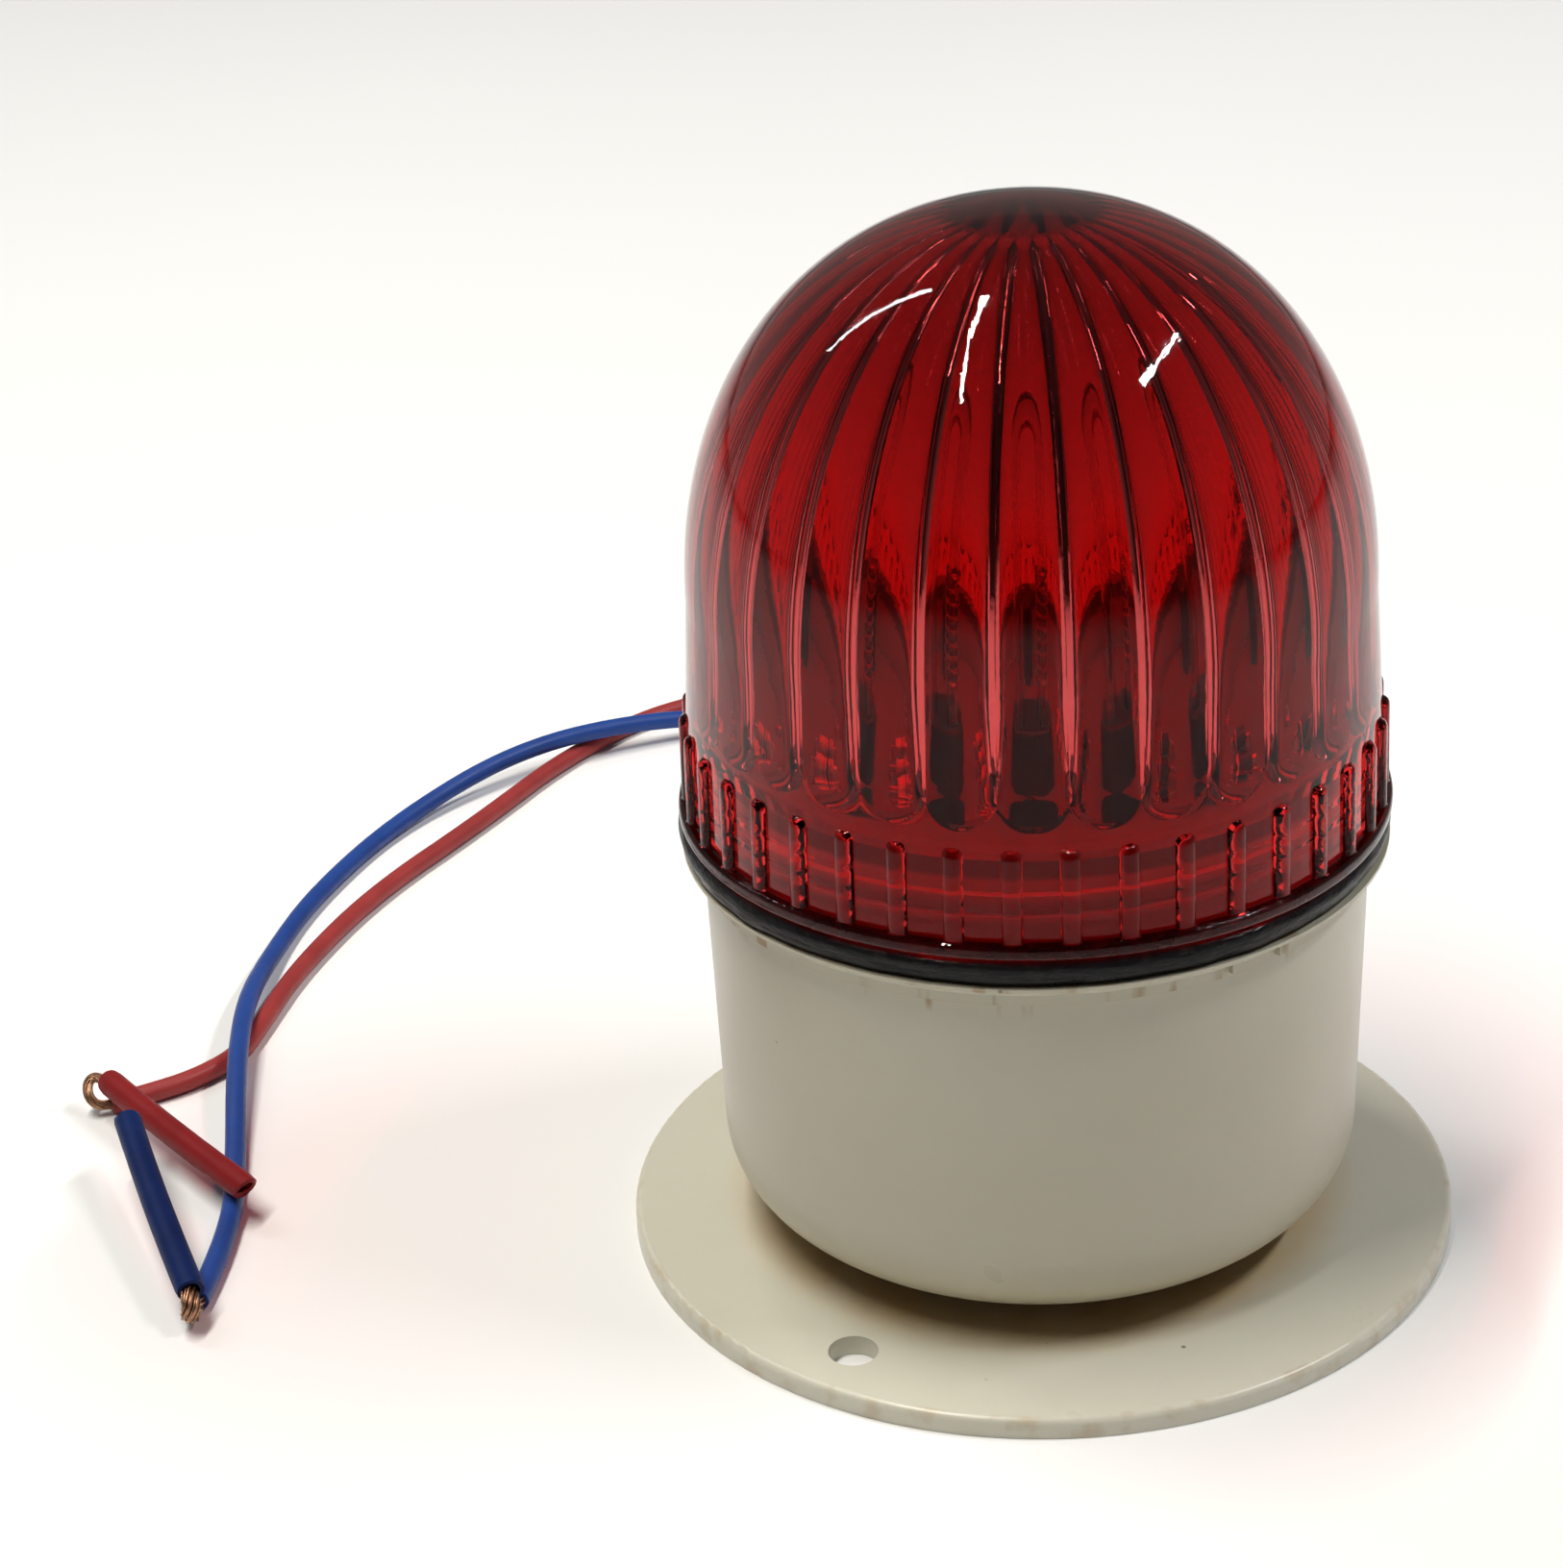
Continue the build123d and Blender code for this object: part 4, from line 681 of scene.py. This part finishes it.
def nurbs(name, route, radius=0.0):
    """A smooth open curve on a route's points, round and capped where it has a radius, in millimetres."""
    data = bpy.data.curves.new(name, "CURVE")
    data.dimensions = "3D"
    spline = data.splines.new("NURBS")
    spline.points.add(len(route) - 1)
    for point, where in zip(spline.points, route):
        point.co = (*(MM * value for value in where), 1)
    spline.order_u = 3
    spline.use_endpoint_u = True
    data.resolution_u = 16
    data.bevel_depth = radius * MM
    data.bevel_resolution = 7
    data.use_fill_caps = radius > 0
    return add_object(name, data)


def line_of(route):
    """Points, in millimetres, read along the smooth curve of a route."""
    guide = nurbs("guide", route)
    mesh = bpy.data.meshes.new_from_object(guide)
    points = [vertex.co / MM for vertex in mesh.vertices]
    bpy.data.meshes.remove(mesh)
    bpy.data.objects.remove(guide)
    return points


def add_strands(name, route, material, seed, layers, fray):
    """A bundle of fine copper wires, lightly twisted and a little spread where it folds."""
    phase_play, wander_reach, wander_rate = 0.15, 0.2, 1.1
    corners = 7
    draw = random.Random(seed)
    path = line_of(route)
    lengths = [0.0]
    for a, b in zip(path, path[1:]):
        lengths.append(lengths[-1] + (b - a).length)
    tangents = [(b - a).normalized() for a, b in zip(path, path[1:])]
    tangents.append(tangents[-1])
    side = tangents[0].orthogonal()
    sides = []
    for tangent in tangents:
        side = (side - side.dot(tangent) * tangent).normalized()
        sides.append(side)
    points, faces = [], []
    for count, distance in layers:
        for number in range(count):
            phase = tau * number / count + draw.uniform(-phase_play, phase_play)
            stray = draw.uniform(0.0, fray)
            wander = draw.uniform(0, tau)
            wire = []
            for point, along, tangent, across in zip(path, lengths, tangents, sides):
                share = along / lengths[-1]
                loose = sin(pi * min(1.0, share * STRAND_PARTING))
                sway = wander_reach * fray * sin(wander + along * wander_rate) * loose
                reach = distance * (1 + stray * loose) + sway
                angle = phase + along * STRAND_TWIST
                other = tangent.cross(across)
                wire.append(point + reach * (cos(angle) * across + sin(angle) * other))
            base = len(points)
            points += tube_rings(wire, [STRAND_RADIUS] * len(wire), corners)
            faces += [tuple(base + index for index in face) for face in ring_faces(len(wire), corners)]
            faces.append(tuple(base + index for index in reversed(range(corners))))
            last = base + (len(wire) - 1) * corners
            faces.append(tuple(last + index for index in range(corners)))
    return mesh_piece(name, points, faces, material, sharp=60)


def add_sleeve(name, route, material, seed, setback, length, bow, slant):
    """A short cut tube over the last stretch of a route, open at both ends and barely bowed. It starts
    setback past the fold, and its far end is cut rough and with a slant."""
    swell, swell_angle, shrink = 0.012, 5.1, 0.02
    near_slant, rough_reach = 0.1, 0.07
    steps, sides = 40, 40
    draw = random.Random(seed)
    fold, tip = Vector(route[-2]), Vector(route[-1])
    along = (tip - fold).normalized()
    start = fold + along * setback
    sideways = along.cross(Vector((0, 0, 1))).normalized()
    path, outer = [], []
    for step in range(steps + 1):
        share = step / steps
        path.append(start + along * length * share + sideways * bow * sin(pi * share))
        outer.append(SLEEVE_RADIUS * (1 + swell * sin(swell_angle * step / steps + seed)) - shrink)
    bore = [SLEEVE_BORE] * (steps + 1)
    for end in (0, -1):
        outer[end] -= SLEEVE_EDGE
        bore[end] += SLEEVE_EDGE
    first = tube_rings(path, outer, sides, sideways)
    second = tube_rings(path, bore, sides, sideways)
    rough_cut = [draw.uniform(-rough_reach, rough_reach) for _ in range(sides)]
    for column in range(sides):
        near_cut = near_slant * cos(tau * column / sides + seed)
        far_cut = rough_cut[column] + slant * sin(tau * column / sides)
        for ring in (first, second):
            ring[column] = ring[column] - along * near_cut
            ring[steps * sides + column] = ring[steps * sides + column] + along * far_cut
    inner = []
    for step in range(steps, -1, -1):
        inner += second[step * sides:(step + 1) * sides]
    rings = 2 * (steps + 1)
    faces = ring_faces(rings, sides, closed=True)
    return mesh_piece(name, first + inner, faces, material, sharp=50)


def add_leads():
    """The two free supply leads with their bare strands and end sleeves."""
    copper = metal("copper_bare", (0.50, 0.28, 0.17), (0.13, 0.075, 0.045), 0.3, (1, 1, 0.3))
    for number, (hue, parts) in enumerate(LEADS.items()):
        route, bare, length = parts["route"], parts["bare"], parts["length"]
        insulation = soft_plastic(f"{hue}_insulation_pvc", *parts["insulation"], 0.38, sheen=0.3)
        tubing = soft_plastic(f"{hue}_sleeve_pvc", *parts["tubing"], 0.46, sheen=0.14)
        strands = add_strands(f"{hue}_copper_strands", bare, copper, number + 3, **parts["strands"])
        sleeve = add_sleeve(f"{hue}_end_sleeve", bare, tubing, number + 1, **parts["sleeve"])
        lead = nurbs(f"{hue}_supply_lead", route, LEAD_RADIUS)
        lead.data.materials.append(insulation)
        for piece, node, slot in (
            (lead, f"{hue}_lead", f"{hue}_insulation"),
            (strands, f"{hue}_strands", "copper_strands"),
            (sleeve, f"{hue}_sleeve", f"{hue}_sleeve_plastic"),
        ):
            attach(piece, "base")
            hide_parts(node)


# ---------------------------------------------------------------- lens

def outer_radius(z):
    """Radius of the lens's smooth outer wall at height z, below the dome."""
    if z <= COLLAR_TOP:
        share = (z - LENS_BEAD_TOP) / (COLLAR_TOP - LENS_BEAD_TOP)
        return COLLAR_RADIUS + (COLLAR_TOP_RADIUS - COLLAR_RADIUS) * share
    share = (z - COLLAR_TOP) / (SPRING_Z - COLLAR_TOP)
    return COLLAR_TOP_RADIUS + (SPRING_RADIUS - COLLAR_TOP_RADIUS) * share


def dome_rows(radius, height, count):
    """(radius, height above the spring line) up a superellipse, to near its pole."""
    limit = asin(sqrt(1 - (POLE_RADIUS / radius) ** DOME_ROUNDNESS))
    rows = []
    for step in range(1, count + 1):
        share = sin(limit * step / count)
        out = radius * (1 - share**2) ** (1 / DOME_ROUNDNESS)
        rows.append((out, height * share ** (2 / DOME_ROUNDNESS)))
    return rows


def grip_rib_relief(offset, z):
    """How far a grip rib stands out, at offset millimetres from its middle."""
    crown = GRIP_RIB_TOP - GRIP_RIB_HALF_WIDTH
    away = np.abs(offset) if z < crown else np.hypot(offset, z - crown)
    inside = np.clip((GRIP_RIB_HALF_WIDTH - away) / GRIP_RIB_ROUND, 0, 1)
    return GRIP_RIB_HEIGHT * np.sqrt(1 - (1 - inside) ** 2)


def flute_relief(across, above):
    """Height, from 0 to 1, of an inner rib with an arc for its section and a round lower end. across is
    -1 to 1 over its width, and above is the height over its lower end in half-widths."""
    away = np.abs(across) if above > 1 else np.hypot(across, 1 - above)
    half = pi * (SPRING_RADIUS - FLUTE_WALL) / FLUTES
    bend = (half**2 + FLUTE_RISE**2) / (2 * FLUTE_RISE)
    inside = np.clip(away, 0, 1) * half
    return (np.sqrt(bend**2 - inside**2) - (bend - FLUTE_RISE)) / FLUTE_RISE


def thread_relief(angle, z):
    """How far the lens's own thread stands in from its bore."""
    relief = np.zeros_like(angle)
    for turn in range(-1, 4):
        run = angle / tau + turn
        middle = THREAD_START + THREAD_PITCH * run
        within = np.clip(np.minimum(run, THREAD_TURNS - run) / THREAD_FADE, 0, 1)
        flank = 0.5 + 0.5 * np.cos(pi * np.clip(np.abs(z - middle) / THREAD_HALF_WIDTH, 0, 1))
        relief = np.maximum(relief, THREAD_DEPTH * within * flank)
    return relief


def lens_outer_rings():
    """The outside of the lens, from its lower rim to near the pole. Its columns stand closest together
    on the grip ribs' flanks, and its rings on the ribs' round tops."""
    steps = (0, 0.45, 0.8, 0.95, 1.06, 1.12, 1.15, 1.9)
    sector = tau * COLLAR_RADIUS / GRIP_RIBS
    offsets = np.array(sorted({value for step in steps for value in (step, -step)} | {sector / 2}))
    sectors = np.repeat(np.arange(GRIP_RIBS), len(offsets)) * tau / GRIP_RIBS
    offsets = np.tile(offsets, GRIP_RIBS)
    angles = radians(GRIP_RIB_START) + sectors + offsets / COLLAR_RADIUS
    rings = []

    def add(radius, z):
        """One ring at height z, whose radius may vary round it."""
        radius = np.broadcast_to(radius, angles.shape)
        level = np.full_like(angles, z)
        rings.append(np.stack([radius * np.cos(angles), radius * np.sin(angles), level], 1))

    flat = LENS_BEAD_RADIUS - LENS_BEAD_ROUND
    for start, z in ((-90, LENS_BOTTOM + LENS_BEAD_ROUND), (0, LENS_BEAD_TOP - LENS_BEAD_ROUND)):
        for step in range(5):
            turn = radians(start + 22.5 * step)
            add(flat + LENS_BEAD_ROUND * cos(turn), z + LENS_BEAD_ROUND * sin(turn))
    foot = outer_radius(LENS_BEAD_TOP) + grip_rib_relief(offsets, LENS_BEAD_TOP) + BEAD_FILLET
    add(foot, LENS_BEAD_TOP)
    crown = GRIP_RIB_TOP - GRIP_RIB_HALF_WIDTH
    turns = (20, 38, 52, 64, 73, 80, 86, 90)
    heights = [LENS_BEAD_TOP + 0.15, 58.5, 60.5, 62.5, 64.5, 66.0, crown]
    heights += [crown + GRIP_RIB_HALF_WIDTH * sin(radians(turn)) for turn in turns]
    heights += [GRIP_RIB_TOP + 0.15, 69.0, 71.0, 73.5, 76.0, 78.0, 79.5, 80.5, 81.3, SPRING_Z]
    for z in heights:
        add(outer_radius(z) + grip_rib_relief(offsets, z), z)
    for radius, height in dome_rows(SPRING_RADIUS, DOME_HEIGHT, count=64):
        add(radius, SPRING_Z + height)
    return rings


def lens_inner_rings(columns):
    """The inside of the lens, from its lower rim to near the pole: the threaded bore, then the flutes."""
    angles = np.arange(columns) * tau / columns
    phase = (angles * FLUTES / tau + 0.5) % 1.0 * 2 - 1
    half = pi * (SPRING_RADIUS - FLUTE_WALL) / FLUTES
    rings = []

    def add(radius, z):
        """One ring, whose radius and height may vary round it."""
        radius = np.broadcast_to(radius, angles.shape)
        z = np.broadcast_to(z, angles.shape)
        rings.append(np.stack([radius * np.cos(angles), radius * np.sin(angles), z], 1))

    add(COLLAR_BORE + BORE_BEVEL, LENS_BOTTOM)
    add(COLLAR_BORE, LENS_BOTTOM + BORE_BEVEL)
    for z in np.arange(LENS_BOTTOM + 2 * BORE_BEVEL, BORE_TOP - 0.2, 0.22):
        add(COLLAR_BORE - thread_relief(angles, z), z)
    add(COLLAR_BORE, BORE_TOP)
    wall = outer_radius(FLUTE_BOTTOM) - FLUTE_WALL + FLUTE_RISE
    add(wall, FLUTE_BOTTOM - 1.2)
    above = [FLUTE_BOTTOM + half * (1 - cos(radians(turn))) for turn in range(0, 91, 9)]
    above += [FLUTE_BOTTOM + half + 1.2, 76.0, 78.0, 79.6, 80.8, 81.6, SPRING_Z]
    for z in above:
        relief = flute_relief(phase, (z - FLUTE_BOTTOM) / half)
        rise = np.interp(z, (FLUTE_BOTTOM + half, SPRING_Z), (LOW_FLUTE_RISE, FLUTE_RISE))
        add(outer_radius(z) - FLUTE_WALL + FLUTE_RISE - rise * relief, z)
    shell = SPRING_RADIUS - FLUTE_WALL + FLUTE_RISE
    ceiling = DOME_HEIGHT - CROWN_WALL
    rows = [(shell, 0.0)] + dome_rows(shell, ceiling, count=78) + [(0.0, ceiling)]
    for before, here, after in zip(rows, rows[1:], rows[2:]):
        outward = np.array((after[1] - before[1], before[0] - after[0]))
        outward /= np.hypot(*outward)
        edge = np.clip((here[0] - DISC_RADIUS) / DISC_EDGE, 0, 1)
        rib = FLUTE_RISE * here[0] / shell * edge * flute_relief(phase, 2)
        add(here[0] - outward[0] * rib, SPRING_Z + here[1] - outward[1] * rib)
    return rings


def add_lens(material):
    """The lens as one closed shell: smooth dome, grip ribs, inner flutes and its own thread."""
    outer = lens_outer_rings()
    columns = len(outer[0])
    inner = lens_inner_rings(columns)[::-1]
    rings = inner + outer
    points = np.concatenate(rings)
    faces = ring_faces(len(rings), columns)
    inner_pole, outer_pole = len(points), len(points) + 1
    last = (len(rings) - 1) * columns
    for column in range(columns):
        side = (column + 1) % columns
        faces.append((inner_pole, side, column))
        faces.append((outer_pole, last + column, last + side))
    poles = np.array([[0, 0, inner[0][0][2]], [0, 0, SPRING_Z + DOME_HEIGHT]])
    lens = mesh_piece("lens_shell", np.concatenate([points, poles]), faces, material, sharp=28)
    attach(lens, "cover")
    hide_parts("lens")


# ---------------------------------------------------------------- gasket

def add_gasket(material):
    """The rubber ring, squeezed unevenly between the shoulder and the lens rim that sits in it."""
    low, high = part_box("lens_gasket")
    reach = high.x / MM
    bottom, top = low.z / MM, LENS_BOTTOM + GASKET_GRIP
    middle = (bottom + top) / 2
    columns = 360
    draw = random.Random(11)
    waves = [(draw.randint(2, 9), draw.uniform(0, tau), draw.uniform(0.3, 1.0)) for _ in range(5)]
    waves += [(draw.randint(14, 46), draw.uniform(0, tau), draw.uniform(0.15, 0.45)) for _ in range(6)]
    total = sum(weight for _, _, weight in waves)
    outline = [(GASKET_BORE, bottom + 0.02)]
    for turn in range(-90, 91, 15):
        x, y = cos(radians(turn)), sin(radians(turn))
        outline.append((reach - GASKET_ROUND + GASKET_ROUND * x, middle + (top - bottom) / 2 * y))
    outline.append((GASKET_BORE, top))
    points = []
    for radius, z in outline:
        for column in range(columns):
            angle = tau * column / columns
            wave = sum(weight * sin(count * angle + start) for count, start, weight in waves) / total
            slack = GASKET_UPPER_SLACK if z > middle else GASKET_LOWER_SLACK
            lean = GASKET_LEAN * (1 + cos(angle - GASKET_LEAN_BEARING)) / 2
            give = slack * (wave - 1) - lean if radius > GASKET_BORE + 1 else 0.0
            points.append(((radius + give) * cos(angle), (radius + give) * sin(angle), z))
    faces = ring_faces(len(outline), columns, closed=True)
    gasket = mesh_piece("gasket_ring", points, faces, material, sharp=50)
    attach(gasket, "seal")
    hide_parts("lens_gasket")


# ---------------------------------------------------------------- CAD nodes' materials

def dress(material, *nodes):
    """Gives CAD nodes a material in every slot."""
    for name in nodes:
        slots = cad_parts[name].data.materials
        for index in range(max(1, len(slots))):
            if index < len(slots):
                slots[index] = material
            else:
                slots.append(material)


def middle_x(node):
    """Where the middle of a CAD node's box lies along X."""
    low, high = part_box(node)
    return (low.x + high.x) / 2


def dress_cad_nodes():
    """A material for each CAD node that is seen as it is."""
    # One cream plastic: the housing's cream is the flange's cream darkened, as painted shade for the cup's
    # shaded sides
    cream = (0.48, 0.455, 0.365)
    cream_shade = (0.45, 0.42, 0.325)
    pale = (0.62, 0.60, 0.505)
    pale_shade = (0.59, 0.565, 0.46)
    dress(aged_plastic("housing_plastic_cream", cream, cream_shade, housing_stains_and_painted_light), "base_housing")
    dress(aged_plastic("flange_plastic_cream", pale, pale_shade, flange_stains_and_painted_shade), "mounting_flange")
    zinc = metal("zinc_plating", (0.66, 0.63, 0.56), (0.42, 0.38, 0.31), 0.25)
    dress(zinc, "flange_screws", "sounder_screws", "board_screws", "terminal_screws")
    dress(board_laminate(), "circuit_board")
    black = soft_plastic("black_moulding", (0.014, 0.014, 0.015), (0.022, 0.021, 0.021), 0.38)
    dress(black, "sounder_case", "sounder_clamp_ring", "tube_socket", "switching_transistor")
    dress(metal("diaphragm_rolled_brass", (0.80, 0.60, 0.28), (0.60, 0.42, 0.18), 0.25, (1, 0.1, 1)),
          "sounder_diaphragm")
    dress(metal("ceramic_silvering", (0.80, 0.79, 0.76), (0.66, 0.64, 0.60), 0.45), "sounder_ceramic")
    dress(soft_plastic("thin_wire_grey", (0.45, 0.43, 0.40), (0.34, 0.32, 0.30), 0.4), "sounder_wires")
    dress(tube_glass(), "flash_tube")
    dress(metal("electrode_metal", (0.55, 0.54, 0.52), (0.25, 0.24, 0.23), 0.3, (1, 1, 0.1)),
          "tube_electrodes")
    dress(metal("trigger_wire_tinned", (0.66, 0.63, 0.56), (0.40, 0.37, 0.32), 0.25), "trigger_wire")
    dress(soft_plastic("coil_dip_brown", (0.06, 0.03, 0.018), (0.035, 0.018, 0.012), 0.22),
          "trigger_coil")
    bands = (
        (-0.0019, (0.30, 0.10, 0.03)),
        (-0.0008, (0.02, 0.02, 0.02)),
        (0.0003, (0.55, 0.08, 0.02)),
        (0.0019, (0.60, 0.42, 0.10)),
    )
    dress(banded_body("resistor_lacquer_tan", (0.62, 0.45, 0.26), bands, middle_x("resistors")),
          "resistors")
    bands = ((0.0015, (0.6, 0.6, 0.6)),)
    dress(banded_body("diode_body_black", (0.02, 0.02, 0.022), bands, middle_x("diodes")), "diodes")
    dress(capacitor_skin(), "storage_capacitor")
    dress(soft_plastic("ferrite_dark", (0.035, 0.034, 0.034), (0.055, 0.052, 0.05), 0.5),
          "transformer_core")
    dress(wound_tape(), "transformer_winding")
    dress(soft_plastic("terminal_moulding_green", (0.03, 0.20, 0.07), (0.02, 0.14, 0.05), 0.35),
          "terminal_block")
    dress(soft_plastic("grommet_rubber_black", (0.016, 0.016, 0.017), (0.03, 0.029, 0.028), 0.55),
          "cable_grommet")
    dress(soft_plastic("tie_nylon", (0.74, 0.72, 0.64), (0.66, 0.63, 0.54), 0.35), "cable_tie")
    dress(bpy.data.materials["blue_insulation_pvc"], "blue_inner_lead")
    dress(bpy.data.materials["red_insulation_pvc"], "red_inner_lead")


# ---------------------------------------------------------------- stage and light

def add_floor(material):
    """The floor, a plain square just under the object's foot."""
    corners = []
    for across, far in ((-1, -1), (1, -1), (1, 1), (-1, 1)):
        corners.append((across * FLOOR_REACH, far * FLOOR_REACH, -FLOOR_DROP))
    mesh = bpy.data.meshes.new("floor")
    mesh.from_pydata(corners, [], [(0, 1, 2, 3)])
    mesh.materials.append(material)
    add_object("floor", mesh)


def strip_light(name, start, end, width, glow, colour):
    """A long narrow lamp under the ceiling, from (x, y) start to end, that faces the object. glow is the
    brightness of its face beside white."""
    start, end = Vector((*start, CEILING)), Vector((*end, CEILING))
    along = (end - start).normalized()
    centre = (start + end) / 2
    facing = Vector(LAMP_AIM) - centre
    facing = (facing - facing.dot(along) * along).normalized()
    lamp = bpy.data.lights.new(name, "AREA")
    lamp.shape = "RECTANGLE"
    lamp.size = (end - start).length
    lamp.size_y = width
    lamp.energy = glow * pi * lamp.size * width
    lamp.color = colour
    turn = Matrix((along, -facing.cross(along), -facing)).transposed().to_4x4()
    add_object(name, lamp).matrix_world = Matrix.Translation(centre) @ turn


def add_light():
    """Three ceiling strips and a dim room, darkest on the viewer's side and overhead, with one even wall
    beyond the object."""
    strip_light("strip_left", (-1.85, 0.98), (-0.58, 0.69), 0.045, 40, (0.94, 0.97, 1.0))
    strip_light("strip_middle", (-0.24, 0.40), (-0.56, -0.70), 0.03, 200, (1.0, 0.96, 0.88))
    strip_light("strip_right", (1.20, 0.39), (0.99, -0.37), 0.042, 145, (0.96, 0.98, 1.0))
    world = bpy.data.worlds.new("room")
    world.use_nodes = True
    tree = world.node_tree
    bearing = tree.nodes.new("ShaderNodeTexCoord").outputs["Generated"]
    across, far, height = split(tree, bearing)
    walls = ramp(
        tree,
        height,
        (0.0, (0.33, 0.32, 0.31)),
        (0.25, (0.22, 0.215, 0.21)),
        (0.8, (0.09, 0.09, 0.095)),
    )
    viewer_side = ramp(tree, maths(tree, "MULTIPLY_ADD", far, 0.5, 0.5), (0.1, 0.12), (0.5, 1.0))
    room = mix(tree, 1.0, walls, viewer_side, "MULTIPLY")
    tall = between(tree, height, 0.02, 0.45, 0.012)
    wide = between(tree, across, -0.55, 0.55, 0.1)
    beyond = maths(tree, "GREATER_THAN", far, 0.0)
    far_wall = maths(tree, "MULTIPLY", maths(tree, "MULTIPLY", tall, wide), beyond)
    room = mix(tree, far_wall, room, (0.235, 0.215, 0.20))
    tree.links.new(room, tree.nodes["Background"].inputs["Color"])
    tree.nodes["Background"].inputs["Strength"].default_value = 1.0
    bpy.context.scene.world = world


# ---------------------------------------------------------------- everything, in order

add_camera()
add_leads()
add_lens(lens_plastic())
add_gasket(gasket_rubber())
dress_cad_nodes()
add_floor(floor_paint())
add_light()
bpy.context.scene.view_settings.view_transform = "Standard"
